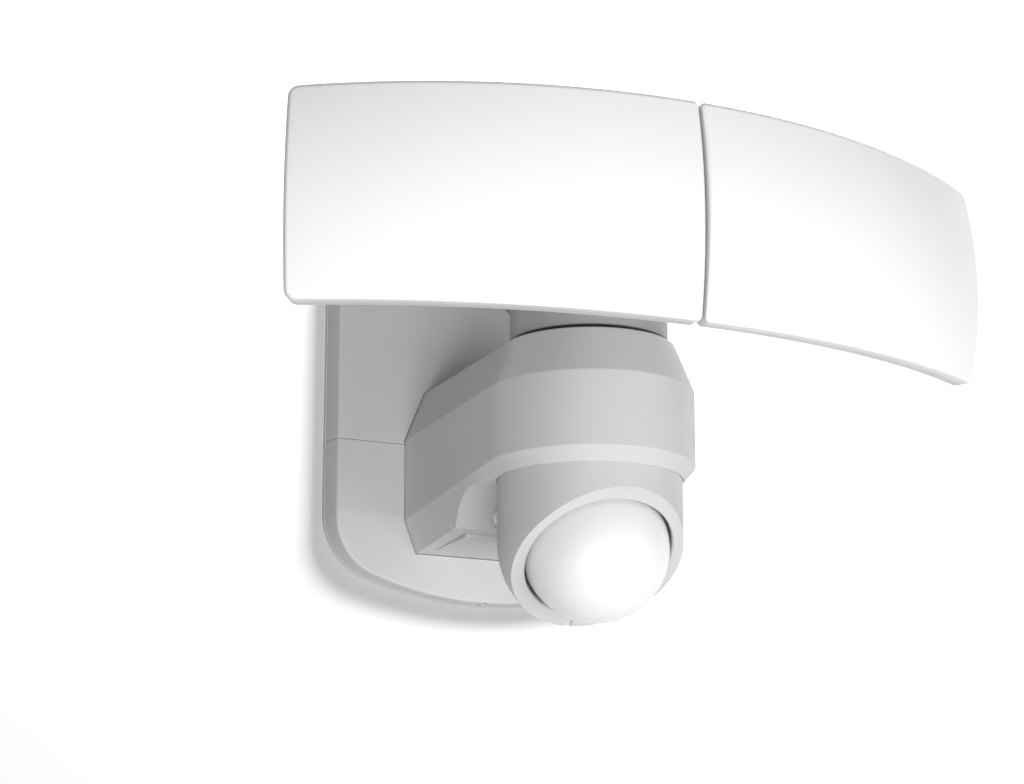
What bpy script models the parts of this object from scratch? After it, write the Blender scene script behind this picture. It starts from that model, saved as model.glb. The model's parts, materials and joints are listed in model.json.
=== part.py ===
"""Wall floodlight: two curved LED panels on a tilting carrier, an arm with a round
head, and a motion sensor in a turret under the head.

All sizes are in millimetres and are turned into metres when a mesh is made.
The origin is the centre of the base plate's wall face. The front faces -Y, up is +Z.
"""
import math

import bmesh
import bpy
from mathutils import Matrix, Vector

MM = 0.001
GAP = 0.3

# Base on the wall
BASE_HALF_WIDTH = 86.7
BASE_TOP = 90.7
BASE_BOTTOM = -90.7
BASE_CORNER = 34.0
BASE_TOP_CORNER = 14.0
BASE_CORNER_Z = -48.1
PLATE_DEPTH = 2.5
COVER_FRONT = 14.0
COVER_DRAFT = 3.3
COVER_WALL = 2.3
COVER_FILLET = 3.2
COVER_SEAM_Z = -12.0
COVER_BEND_Z = -49.0
COVER_SLOPE_DROP = 5.7
LOCK_Y = -5.4

# Arm and round head
ARM_ROOT_Y = -14.0
ARM_WALL = 3.2
ARM_CAVITY_FLOOR_Z = -44.5
ARM_ROOT_SECTION = [(36.0, 16.0), (46.6, -10.0), (46.3, -51.0), (39.0, -67.0)]
ARM_HEAD_SECTION = [(40.7, 14.3), (49.8, -8.2), (49.8, -43.5), (44.3, -64.0)]
HEAD_Y = -130.3
HEAD_TOP = 14.5
HEAD_TOP_RADIUS = 40.9
HEAD_RADIUS = 50.0
HEAD_SHOULDER_Z = -8.0
HEAD_CHAMFER_Z = -43.7
HEAD_BOTTOM = -50.0
HEAD_WALL = 3.2
STEP_FRONT_Y = -100.0
STEP_BACK_Y = -68.3
STEP_TOP_Z = -50.2
STEP_HEIGHT = 14.4
STEP_POWER = 1.75
DIAL_X = 19.5
DIAL_Z = -56.0
DIAL_RADIUS = 6.8
DIAL_BACK_Y = -65.0
DIAL_FRONT_Y = -76.5

# Column and fork
COLUMN_RADIUS = 37.7
COLUMN_CAP_RADIUS = 41.0
STEM_RADIUS = 18.0
TILT_Y = -165.0
TILT_Z = 62.0
CHEEK_INNER_X = 27.0
CHEEK_OUTER_X = 33.0

# Panels
PANEL_MID_Z = 50.0
PANEL_HALF_HEIGHT = 51.1
PANEL_RADIUS = 328.1
PANEL_ARC_Y = 78.1
PANEL_HALF_ANGLE = math.radians(33.07)
PANEL_DEPTH = 15.0
PANEL_CROWN = 5.6
PANEL_TAPER = 2.3
PANEL_SPLIT = 6.4
PANEL_WALL = 2.0
PANEL_HALF_GAP = 0.7
PANEL_INNER_CORNER = 2.6
PANEL_OUTER_CORNER = 5.0
PANEL_RIM_ROUND = 2.4
HINGE_X = 16.0
HINGE_Y = -225.0
HINGE_PIN_RADIUS = 2.0
KNUCKLE_RADIUS = 5.0

# Sensor
TURRET_RADIUS = 43.7
TURRET_TOP = -45.9
TURRET_ROUND_Z = -79.0
BALL_CENTRE = Vector((0.0, -136.0, -83.4))
BALL_RADIUS = 34.5
BALL_CAVITY_RADIUS = 36.5
BALL_BACK = 12.0
LENS_ANGLE = math.radians(-38.17)
RIM_OFFSET = 5.9
OPENING_RADIUS = 35.8

ROUND_STEPS = 40
RING_STEPS = 28
SMALL_STEPS = 24

PARTS = "floodlight"
CUTTERS = "cutters"

MATERIALS = {
    "housing_grey": ((0.55, 0.55, 0.54), 0.55, 0.0),
    "plate_grey": ((0.62, 0.62, 0.61), 0.55, 0.0),
    "opal_white": ((0.90, 0.90, 0.88), 0.35, 0.0),
    "lens_white": ((0.88, 0.88, 0.86), 0.25, 0.0),
    "dark_rubber": ((0.04, 0.04, 0.04), 0.75, 0.0),
    "dark_plastic": ((0.08, 0.08, 0.085), 0.50, 0.0),
    "white_plastic": ((0.80, 0.80, 0.78), 0.45, 0.0),
    "steel": ((0.60, 0.60, 0.62), 0.30, 1.0),
    "aluminium": ((0.75, 0.76, 0.77), 0.40, 1.0),
    "circuit_green": ((0.05, 0.22, 0.10), 0.45, 0.0),
    "board_white": ((0.85, 0.85, 0.84), 0.50, 0.0),
    "copper_tape": ((0.85, 0.62, 0.12), 0.45, 0.0),
    "bearing_plastic": ((0.70, 0.68, 0.60), 0.40, 0.0),
    "wire_brown": ((0.20, 0.09, 0.04), 0.50, 0.0),
    "wire_blue": ((0.04, 0.12, 0.45), 0.50, 0.0),
    "wire_green": ((0.12, 0.40, 0.08), 0.50, 0.0),
}


# ---------------------------------------------------------------- scene helpers

def clear_scene():
    for obj in list(bpy.data.objects):
        bpy.data.objects.remove(obj, do_unlink=True)
    for name in (PARTS, CUTTERS):
        collection = bpy.data.collections.new(name)
        bpy.context.scene.collection.children.link(collection)


def make_material(name):
    colour, roughness, metallic = MATERIALS[name]
    material = bpy.data.materials.new(name)
    material.use_nodes = True
    shader = material.node_tree.nodes["Principled BSDF"]
    shader.inputs["Base Color"].default_value = (*colour, 1.0)
    shader.inputs["Roughness"].default_value = roughness
    shader.inputs["Metallic"].default_value = metallic
    return material


def metres(point):
    return Vector(point) * MM


def link(name, mesh, finish, place=(0, 0, 0), turn=(0, 0, 0)):
    """Link a mesh as a part with its own material, or as a cutter when finish is None."""
    obj = bpy.data.objects.new(name, mesh)
    obj.location = metres(place)
    obj.rotation_euler = turn
    if finish is None:
        obj.hide_render = True
        obj.display_type = "WIRE"
        bpy.data.collections[CUTTERS].objects.link(obj)
    else:
        material = make_material(finish)
        material.name = f"{name}_{finish}"
        mesh.materials.append(material)
        bpy.data.collections[PARTS].objects.link(obj)
    return obj


def face_outward(bm):
    bmesh.ops.recalc_face_normals(bm, faces=bm.faces)
    if bm.calc_volume(signed=True) < 0:
        bmesh.ops.reverse_faces(bm, faces=bm.faces)


def link_bmesh(name, bm, finish, place=(0, 0, 0), turn=(0, 0, 0)):
    """Turn a bmesh in millimetres into a linked object in metres, faces outward."""
    face_outward(bm)
    bmesh.ops.scale(bm, vec=(MM, MM, MM), verts=bm.verts)
    mesh = bpy.data.meshes.new(name)
    bm.to_mesh(mesh)
    bm.free()
    return link(name, mesh, finish, place, turn)


def boolean(target, other, operation="DIFFERENCE"):
    modifier = target.modifiers.new(f"{operation.lower()} {other.name}", "BOOLEAN")
    modifier.operation = operation
    modifier.solver = "EXACT"
    modifier.object = other
    return target


def axis_empty(name, place, parent=None):
    """An empty on a joint's axis; moving pieces are parented to it."""
    empty = bpy.data.objects.new(name, None)
    empty.empty_display_size = 0.02
    bpy.data.collections[PARTS].objects.link(empty)
    empty["place"] = list(metres(place))
    start = Vector((0, 0, 0))
    if parent is not None:
        empty.parent = parent
        start = Vector(parent["place"])
    empty.location = metres(place) - start
    return empty


def hang_on(empty, *pieces):
    """Parent pieces to a joint's empty and keep them where they are."""
    for piece in pieces:
        piece.parent = empty
        piece.matrix_parent_inverse = Matrix.Translation(-Vector(empty["place"]))


# ---------------------------------------------------------------- shape helpers

def box(name, low, high, finish, fillet=0.0):
    bm = bmesh.new()
    bmesh.ops.create_cube(bm, size=1.0)
    size = Vector(high) - Vector(low)
    middle = (Vector(high) + Vector(low)) / 2
    bmesh.ops.scale(bm, vec=size, verts=bm.verts)
    bmesh.ops.translate(bm, vec=middle, verts=bm.verts)
    if fillet:
        bmesh.ops.bevel(bm, geom=list(bm.edges), offset=fillet, segments=1, affect="EDGES")
    return link_bmesh(name, bm, finish)


def cylinder(name, radius, start, end, finish, steps=SMALL_STEPS):
    """A cylinder from one point to another."""
    axis = Vector(end) - Vector(start)
    matrix = Matrix.Translation((Vector(start) + Vector(end)) / 2)
    matrix = matrix @ Vector((0, 0, 1)).rotation_difference(axis).to_matrix().to_4x4()
    bm = bmesh.new()
    bmesh.ops.create_cone(bm, cap_ends=True, segments=steps, radius1=radius, radius2=radius,
                          depth=axis.length, matrix=matrix)
    return link_bmesh(name, bm, finish)


def lathe(name, profile, finish, place=(0, 0, 0), turn=(0, 0, 0), steps=ROUND_STEPS, ring=False):
    """Turn a profile of (radius, height) about Z. It runs down its outer side."""
    mesh = bpy.data.meshes.new(name)
    points = [metres((radius, 0, height)) for radius, height in profile]
    edges = [(i, i + 1) for i in range(len(points) - 1)]
    if ring:
        edges.append((len(points) - 1, 0))
    mesh.from_pydata(points, edges, [])
    obj = link(name, mesh, finish, place, turn)
    screw = obj.modifiers.new("turn", "SCREW")
    screw.steps = steps
    screw.render_steps = steps
    screw.use_merge_vertices = True
    screw.merge_threshold = 0.000001
    return obj


def arc(centre, radius, start, end, steps):
    """Points on an arc, with the angles in degrees."""
    points = []
    for i in range(steps + 1):
        angle = math.radians(start + (end - start) * i / steps)
        points.append((centre[0] + radius * math.cos(angle), centre[1] + radius * math.sin(angle)))
    return points


AXIS_TURNS = {
    "X": Matrix(((0, 0, 1, 0), (1, 0, 0, 0), (0, 1, 0, 0), (0, 0, 0, 1))),
    "Y": Matrix(((1, 0, 0, 0), (0, 0, -1, 0), (0, 1, 0, 0), (0, 0, 0, 1))),
    "Z": Matrix.Identity(4),
}


def outline_solid(name, outline, start, end, axis, finish):
    """A flat outline drawn as a filled curve and extruded along an axis.

    The outline is (y, z) for X, (x, z) for Y and (x, y) for Z. start and end are
    distances along the axis.
    """
    curve = bpy.data.curves.new(name, "CURVE")
    curve.dimensions = "2D"
    curve.fill_mode = "BOTH"
    curve.extrude = abs(end - start) / 2 * MM
    spline = curve.splines.new("POLY")
    spline.points.add(len(outline) - 1)
    for point, (u, v) in zip(spline.points, outline):
        point.co = (u * MM, v * MM, 0, 1)
    spline.use_cyclic_u = True
    sketch = bpy.data.objects.new(name + "_sketch", curve)
    bpy.context.scene.collection.objects.link(sketch)
    mesh = bpy.data.meshes.new_from_object(sketch.evaluated_get(bpy.context.evaluated_depsgraph_get()))
    bpy.data.objects.remove(sketch, do_unlink=True)
    bm = bmesh.new()
    bm.from_mesh(mesh)
    bmesh.ops.remove_doubles(bm, verts=bm.verts, dist=0.000001)
    middle = (start + end) / 2 * MM
    if axis == "Y":
        middle = -middle
    bmesh.ops.translate(bm, vec=(0, 0, middle), verts=bm.verts)
    bmesh.ops.transform(bm, matrix=AXIS_TURNS[axis], verts=bm.verts)
    face_outward(bm)
    bm.to_mesh(mesh)
    bm.free()
    mesh.name = name
    return link(name, mesh, finish)


def loft(bm, sections):
    """Bridge closed sections of the same number of points and close both ends."""
    loops = []
    for section in sections:
        verts = [bm.verts.new(point) for point in section]
        loops.append([bm.edges.new((verts[i - 1], verts[i])) for i in range(len(verts))])
    for first, second in zip(loops, loops[1:]):
        bmesh.ops.bridge_loops(bm, edges=first + second)
    bmesh.ops.edgeloop_fill(bm, edges=loops[0])
    bmesh.ops.edgeloop_fill(bm, edges=loops[-1])


def cut_flat(bm, point, normal):
    """Cut away what lies on the normal's side of a plane and close the cut."""
    geometry = list(bm.verts) + list(bm.edges) + list(bm.faces)
    cut = bmesh.ops.bisect_plane(bm, geom=geometry, plane_co=point, plane_no=normal, clear_outer=True)
    edges = [item for item in cut["geom_cut"] if isinstance(item, bmesh.types.BMEdge)]
    bmesh.ops.edgeloop_fill(bm, edges=edges)


def tube(name, points, radius, finish):
    """A wire along hand-placed points, with closed ends."""
    curve = bpy.data.curves.new(name, "CURVE")
    curve.dimensions = "3D"
    curve.bevel_depth = radius * MM
    curve.bevel_resolution = 2
    curve.use_fill_caps = True
    spline = curve.splines.new("POLY")
    spline.points.add(len(points) - 1)
    for target, point in zip(spline.points, points):
        target.co = (*metres(point), 1)
    return link(name, curve, finish)


# ---------------------------------------------------------------- base

def base_outline(half_width, bottom, corner, top, top_corner):
    """(x, z) outline: straight sides, big lower corners and a shallow bottom arc."""
    corner_x = half_width - corner
    height = BASE_CORNER_Z - bottom
    radius = (corner_x ** 2 + height ** 2 - corner ** 2) / (2 * (height - corner))
    meet = math.degrees(math.atan2(height - radius, corner_x))
    points = arc((half_width - top_corner, top - top_corner), top_corner, 90, 0, 4)
    points += arc((corner_x, BASE_CORNER_Z), corner, 0, meet, 6)
    points += arc((0, bottom + radius), radius, meet, -180 - meet, 8)[1:-1]
    points += arc((-corner_x, BASE_CORNER_Z), corner, -180 - meet, -180, 6)
    points += arc((top_corner - half_width, top - top_corner), top_corner, 180, 90, 4)
    return points


def wall_outline(inset=0.0):
    return base_outline(BASE_HALF_WIDTH - inset, BASE_BOTTOM + inset, BASE_CORNER - inset,
                        BASE_TOP - inset, BASE_TOP_CORNER - inset)


def front_outline(inset=0.0):
    return base_outline(BASE_HALF_WIDTH - COVER_DRAFT - inset, BASE_BOTTOM + 2.1 + inset,
                        BASE_CORNER - 2.6 - inset, BASE_TOP - COVER_DRAFT - inset,
                        BASE_TOP_CORNER - 2.0 - inset)


def cover_solid(name, back_y, inset, fillet):
    """The solid inside the covers' surface, moved inward by inset."""
    front_y = inset - COVER_FRONT
    sections = [[(x, back_y, z) for x, z in wall_outline(inset)],
                [(x, front_y, z) for x, z in front_outline(inset)]]
    bm = bmesh.new()
    loft(bm, sections)
    slope = Vector((0, -(COVER_BEND_Z - BASE_BOTTOM), -COVER_SLOPE_DROP)).normalized()
    cut_flat(bm, (0, front_y, COVER_BEND_Z), slope)
    if fillet:
        face_outward(bm)
        rim = [edge for edge in bm.edges
               if len(edge.link_faces) == 2
               and sorted(face.normal.y < -0.9 for face in edge.link_faces) == [False, True]]
        bmesh.ops.bevel(bm, geom=rim, offset=fillet, segments=2, profile=0.5, affect="EDGES")
    return link_bmesh(name, bm, None)


def make_base():
    plate = outline_solid("wall_plate", wall_outline(0.4), -PLATE_DEPTH, 0, "Y", "plate_grey")
    tab = box("plate_tab", (-6, -7.4, -83.8), (6, -PLATE_DEPTH + 1, -79.0), None)
    boolean(plate, tab, "UNION")
    for x in (-62, 62):
        hole = cylinder("plate_screw_hole", 3.0, (x, 5, 34), (x, -8, 34), None)
        boolean(plate, hole)
    cable_hole = cylinder("plate_cable_hole", 9.0, (0, 5, 66), (0, -8, 66), None)
    boolean(plate, cable_hole)
    lock_bore = cylinder("plate_lock_bore", 1.5, (0, LOCK_Y, -95), (0, LOCK_Y, -70), None, 16)
    boolean(plate, lock_bore)

    seal = outline_solid("base_seal", wall_outline(4.3), -4.8, -PLATE_DEPTH - GAP, "Y", "dark_rubber")
    seal_core = outline_solid("base_seal_core", wall_outline(6.2), -8, 2, "Y", None)
    boolean(seal, seal_core)
    boolean(seal, box("seal_screw_gap", (-3, -8, -95), (3, 2, -75), None))

    arm_gap = arm_solid("arm_gap", -GAP - 0.05, 5.0)
    covers = (("upper_cover", COVER_SEAM_Z + GAP / 2, 120.0),
              ("lower_cover", -120.0, COVER_SEAM_Z - GAP / 2))
    for name, low, high in covers:
        cover = box(name, (-120, -40, low), (120, -PLATE_DEPTH - GAP, high), "housing_grey")
        boolean(cover, cover_solid(name + "_outside", 0.0, 0.0, COVER_FILLET), "INTERSECT")
        boolean(cover, cover_solid(name + "_inside", 0.0, COVER_WALL, 0.0))
        boolean(cover, arm_gap)
        if name == "lower_cover":
            bore = cylinder("cover_lock_bore", 2.4, (0, LOCK_Y, -95), (0, LOCK_Y, -84.8), None, 16)
            boolean(cover, bore)
            boolean(cover, box("cover_lock_pocket", (-7, -7.8, -86.8), (7, 0, -77), None))

    lathe("cover_lock_screw", [(0, -78), (1.2, -78), (1.2, -85.6), (2.1, -85.6), (2.1, -89.4),
                               (1.2, -90.0), (0, -90.0)],
          "steel", place=(0, LOCK_Y, 0), steps=16)
    lathe("cable_grommet", [(0, 3.4), (3.0, 3.4), (6.0, 5.4), (11.5, 5.4), (11.5, 2.8), (8.6, 2.8),
                            (8.6, 0.2), (5.0, 0.2), (3.0, 2.0), (0, 2.0)],
          "dark_rubber", place=(0, 0, 66), turn=(math.pi / 2, 0, 0), steps=SMALL_STEPS)
    block = box("terminal_block", (-19, -11.0, 32), (19, -PLATE_DEPTH - GAP, 46), "white_plastic", 0.6)
    for i in range(3):
        x = (i - 1) * 11.0
        bore = cylinder("terminal_bore", 2.0, (x, -15, 42), (x, -5, 42), None, 12)
        boolean(block, bore)


# ---------------------------------------------------------------- arm and head

def inset_section(section, inset):
    """Move a half section of (x, z) inward at its top, sides and bottom."""
    (top_x, top_z), (wide_x, wide_z), (low_x, low_z), (base_x, base_z) = section
    return [(top_x - inset * 0.65, top_z - inset), (wide_x - inset, wide_z - inset * 0.35),
            (low_x - inset, low_z + inset * 0.25), (base_x - inset * 0.75, base_z + inset)]


def arm_solid(name, inset, root_y):
    """The arm lofted from its root to the head's axis, moved inward by inset."""
    sections = []
    for y, half in ((root_y, ARM_ROOT_SECTION), (ARM_ROOT_Y, ARM_ROOT_SECTION),
                    (HEAD_Y, ARM_HEAD_SECTION)):
        half = inset_section(half, inset)
        right = [(x, y, z) for x, z in half]
        left = [(-x, y, z) for x, z in reversed(half)]
        sections.append(right + left)
    bm = bmesh.new()
    loft(bm, sections)
    return link_bmesh(name, bm, None)


def step_outline(steps=8):
    """(y, z) region under the arm that the concave step leaves open."""
    curve = []
    for i in range(steps + 1):
        share = i / steps
        curve.append((STEP_FRONT_Y + (STEP_BACK_Y - STEP_FRONT_Y) * share,
                      STEP_TOP_Z - STEP_HEIGHT * share ** STEP_POWER))
    return [(-200, STEP_TOP_Z)] + curve + [(STEP_BACK_Y + 1.0, -90), (-200, -90)]


def make_arm():
    head_profile = [(HEAD_TOP_RADIUS, HEAD_TOP), (HEAD_RADIUS, HEAD_SHOULDER_Z),
                    (HEAD_RADIUS, HEAD_CHAMFER_Z), (44.6, HEAD_BOTTOM), (44.0, HEAD_BOTTOM),
                    (44.0, -43.4), (20.5, -43.4), (20.5, -40.4), (HEAD_RADIUS - HEAD_WALL, -40.4),
                    (HEAD_RADIUS - HEAD_WALL, -9.0), (HEAD_TOP_RADIUS - 2.4, HEAD_TOP - HEAD_WALL),
                    (STEM_RADIUS + 0.5, HEAD_TOP - HEAD_WALL), (STEM_RADIUS + 0.5, HEAD_TOP)]
    arm = arm_solid("arm_outside", 0.0, -PLATE_DEPTH - GAP)
    step = outline_solid("arm_step", step_outline(), -80, 80, "X", None)
    boolean(arm, step)
    core = cylinder("head_core", 45.6, (0, HEAD_Y, -70), (0, HEAD_Y, 40), None, 34)
    boolean(arm, core)

    shell = lathe("arm_shell", head_profile, "housing_grey", place=(0, HEAD_Y, 0), ring=True)
    boolean(shell, arm, "UNION")
    bm = bmesh.new()
    sections = []
    for y in (5.0, -81.0):
        blend = max(0.0, (y - ARM_ROOT_Y) / (HEAD_Y - ARM_ROOT_Y))
        half = [Vector(a).lerp(Vector(b), blend) for a, b in zip(ARM_ROOT_SECTION, ARM_HEAD_SECTION)]
        top, wide = inset_section(half, ARM_WALL)[:2]
        half = [top, wide, (wide[0], ARM_CAVITY_FLOOR_Z)]
        sections.append([(x, y, z) for x, z in half] + [(-x, y, z) for x, z in reversed(half)])
    loft(bm, sections)
    boolean(shell, link_bmesh("arm_cavity", bm, None))
    boolean(shell, box("chin_cavity", (-37, -62.5, -61.0), (37, 5, -44.0), None))
    boolean(shell, box("chin_opening", (-33, -60, -75), (33, -19, -60.5), None))
    boolean(shell, box("head_passage", (-28, -90, -36), (28, -76, 6), None))
    boolean(shell, box("wire_notch", (-9, -9, 8), (9, 5, 22), None))

    dial_hole_radius = DIAL_RADIUS + 0.4
    for name, side in (("time_dial", -1), ("twilight_dial", 1)):
        x = side * DIAL_X
        hole = cylinder(name + "_hole", dial_hole_radius, (x, -110, DIAL_Z), (x, -61.5, DIAL_Z), None)
        boolean(shell, hole)
        latch = box(name + "_latch_slot", (side * 37.5 - 6, -65.6, -70), (side * 37.5 + 6, -63.4, -62.5),
                    None)
        boolean(shell, latch)
        dial = cylinder(name, DIAL_RADIUS, (x, DIAL_BACK_Y, DIAL_Z), (x, DIAL_FRONT_Y, DIAL_Z),
                        "white_plastic")
        stem = cylinder(name + "_stem", 2.0, (x, -58.4, DIAL_Z), (x, DIAL_BACK_Y - 1, DIAL_Z), None, 16)
        boolean(dial, stem, "UNION")
        slot = box(name + "_slot", (x - 0.9, DIAL_FRONT_Y - 3, DIAL_Z - 5),
                   (x + 0.9, DIAL_FRONT_Y + 1.2, DIAL_Z + 5), None)
        boolean(dial, slot)
        empty = axis_empty(name + "_axis", (x, DIAL_BACK_Y, DIAL_Z))
        hang_on(empty, dial)

    box("setting_board", (-31, -58.0, -60.6), (31, -56.4, -48), "circuit_green")
    cover = box("arm_bottom_cover", (-32.7, -59.7, -66.8), (32.7, -19.3, -64.4), "housing_grey", 0.4)
    for x in (-24, 24):
        boolean(cover, box("cover_hook", (x - 4, -58.4, -65.5), (x + 4, -56.9, -61.4), None), "UNION")

    box("driver_board", (-36, -76, -38.6), (36, -18, -37.0), "circuit_green")
    box("transformer", (-14, -52, -36.7), (14, -26, -14.7), "copper_tape", 1.5)
    lathe("capacitor", [(0, -11.7), (7.2, -11.7), (8.0, -12.5), (8.0, -36.7), (0, -36.7)],
          "dark_plastic", place=(-24, -66, 0), steps=SMALL_STEPS)
    box("relay", (15, -73, -36.7), (33, -58, -21.7), "wire_blue", 0.6)

    wires = (("wire_live", "wire_brown", -5.5), ("wire_neutral", "wire_blue", 0.0),
             ("wire_earth", "wire_green", 5.5))
    for name, finish, x in wires:
        route = [(x, -6.5, 31.5), (x, -6.5, 24), (x, -6.5, 16), (x, -6.8, 8), (x, -8.2, -2),
                 (x, -10.4, -14), (x, -12.5, -26), (x, -15.5, -33), (x, -19.5, -36.0)]
        tube(name, route, 1.2, finish)

    lathe("turret_bearing_ring", [(40.0, -43.7), (40.0, -45.6), (24.0, -45.6), (24.0, -43.7)],
          "bearing_plastic", place=(0, HEAD_Y, 0), steps=RING_STEPS, ring=True)


# ---------------------------------------------------------------- column and fork

def make_column():
    empty = axis_empty("head_swivel_axis", (0, HEAD_Y, HEAD_TOP))
    column = lathe("column", [(0, 46.5), (38.6, 46.5), (COLUMN_CAP_RADIUS, 44.0),
                              (COLUMN_CAP_RADIUS, 36.5), (COLUMN_RADIUS, 33.0), (COLUMN_RADIUS, 16.8),
                              (STEM_RADIUS, 16.8), (STEM_RADIUS, -6.0), (15.0, -6.0), (15.0, 20.0),
                              (34.5, 20.0), (34.5, 34.0), (37.8, 37.0), (37.8, 43.5), (0, 43.5)],
                   "housing_grey", place=(0, HEAD_Y, 0))
    # The fork's two cheeks lean forward from the cap to the tilt axis.
    cheek = arc((TILT_Y, TILT_Z), 14.0, 45, 215, 10)
    cheek = [(-118, 45.2), (-118, 50)] + cheek + [(-166, 45.2)]
    for side in (-1, 1):
        start, end = sorted((side * CHEEK_INNER_X, side * CHEEK_OUTER_X))
        part = outline_solid("fork_cheek", cheek, start, end, "X", None)
        boolean(column, part, "UNION")
    bore = cylinder("fork_bore", 3.4, (-50, TILT_Y, TILT_Z), (50, TILT_Y, TILT_Z), None)
    boolean(column, bore)
    gasket = lathe("swivel_gasket", [(36.4, 16.5), (36.4, 14.8), (22.0, 14.8), (22.0, 16.5)],
                   "dark_rubber", place=(0, HEAD_Y, 0), steps=RING_STEPS, ring=True)
    nut = lathe("swivel_nut", [(27.0, 11.0), (27.0, 3.0), (18.4, 3.0), (18.4, 11.0)],
                "bearing_plastic", place=(0, HEAD_Y, 0), steps=SMALL_STEPS, ring=True)
    seat = CHEEK_OUTER_X + GAP
    pin = lathe("tilt_pin", [(0, seat + 3.2), (3.5, seat + 3.2), (6.0, seat + 2.0), (6.0, seat),
                             (3.0, seat), (3.0, -38.5), (0, -38.5)],
                "steel", place=(0, TILT_Y, TILT_Z), turn=(0, math.pi / 2, 0), steps=SMALL_STEPS)
    tilt_nut = cylinder("tilt_nut", 6.4, (-seat, TILT_Y, TILT_Z), (-37.6, TILT_Y, TILT_Z), "steel", 6)
    nut_bore = cylinder("tilt_nut_bore", 3.3, (-30, TILT_Y, TILT_Z), (-45, TILT_Y, TILT_Z), None)
    boolean(tilt_nut, nut_bore)
    hang_on(empty, column, gasket, nut, pin, tilt_nut)
    return empty


def knuckle_outline(side, front, back):
    """(x, y) plan of a hinge knuckle: a round end about the hinge axis on a flat root."""
    x = side * HINGE_X
    start = (180, 360) if front > back else (0, 180)
    points = arc((x, HINGE_Y), KNUCKLE_RADIUS, start[0], start[1], 8)
    far_x = points[-1][0]
    near_x = points[0][0]
    return points + [(far_x, front), (near_x, front)]


def make_yoke(parent):
    empty = axis_empty("panel_tilt_axis", (0, TILT_Y, TILT_Z), parent)
    yoke = cylinder("yoke", 12.0, (-26.0, TILT_Y, TILT_Z), (26.0, TILT_Y, TILT_Z), "housing_grey")
    neck = [(TILT_Y, TILT_Z + 10), (-203, TILT_Z + 10), (-216, TILT_Z + 16), (-216, TILT_Z - 34),
            (-203, TILT_Z - 16), (-178, TILT_Z - 10), (TILT_Y, TILT_Z - 10)]
    boolean(yoke, outline_solid("yoke_neck", neck, -18, 18, "X", None), "UNION")
    boolean(yoke, box("yoke_spine", (-28, -219.4, 22), (28, -212, 80), None, 1.5), "UNION")
    for side in (-1, 1):
        knuckle = outline_solid("yoke_knuckle", knuckle_outline(side, -215.0, -235.0), 40.3, 61.7, "Z",
                                None)
        boolean(yoke, knuckle, "UNION")
    for side in (-1, 1):
        x = side * HINGE_X
        pin_bore = cylinder("yoke_pin_bore", HINGE_PIN_RADIUS + GAP, (x, HINGE_Y, 0),
                            (x, HINGE_Y, 120), None, 16)
        boolean(yoke, pin_bore)
    tilt_bore = cylinder("yoke_tilt_bore", 3.4, (-50, TILT_Y, TILT_Z), (50, TILT_Y, TILT_Z), None)
    boolean(yoke, tilt_bore)
    pieces = [yoke]
    for name, side in (("hinge_pin_left", -1), ("hinge_pin_right", 1)):
        pieces.append(lathe(name, [(0, 82.0), (3.2, 82.0), (3.2, 80.3), (HINGE_PIN_RADIUS, 80.3),
                                   (HINGE_PIN_RADIUS, 19.5), (0, 19.5)],
                            "steel", place=(side * HINGE_X, HINGE_Y, 0), steps=16))
    for name, side in (("tilt_washer_left", -1), ("tilt_washer_right", 1)):
        pieces.append(lathe(name, [(8.0, 0.2), (8.0, -0.2), (3.5, -0.2), (3.5, 0.2)], "bearing_plastic",
                            place=(side * 26.5, TILT_Y, TILT_Z), turn=(0, math.pi / 2, 0),
                            steps=SMALL_STEPS, ring=True))
    hang_on(empty, *pieces)
    return empty


# ---------------------------------------------------------------- panels

def panel_point(along, up, depth, crown):
    """Map a flat block to the panel: along the arc, up from mid-height, back from the front."""
    reach = PANEL_RADIUS * PANEL_HALF_ANGLE
    angle = along / PANEL_RADIUS
    bulge = PANEL_CROWN * (up / PANEL_HALF_HEIGHT) ** 2 if crown else 0.0
    radius = PANEL_RADIUS - depth - bulge * (1 - depth / PANEL_DEPTH)
    taper = 1 - PANEL_TAPER / PANEL_HALF_HEIGHT * (along / reach) ** 2
    return Vector((radius * math.sin(angle), PANEL_ARC_Y - radius * math.cos(angle),
                   PANEL_MID_Z + up * taper))


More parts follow.
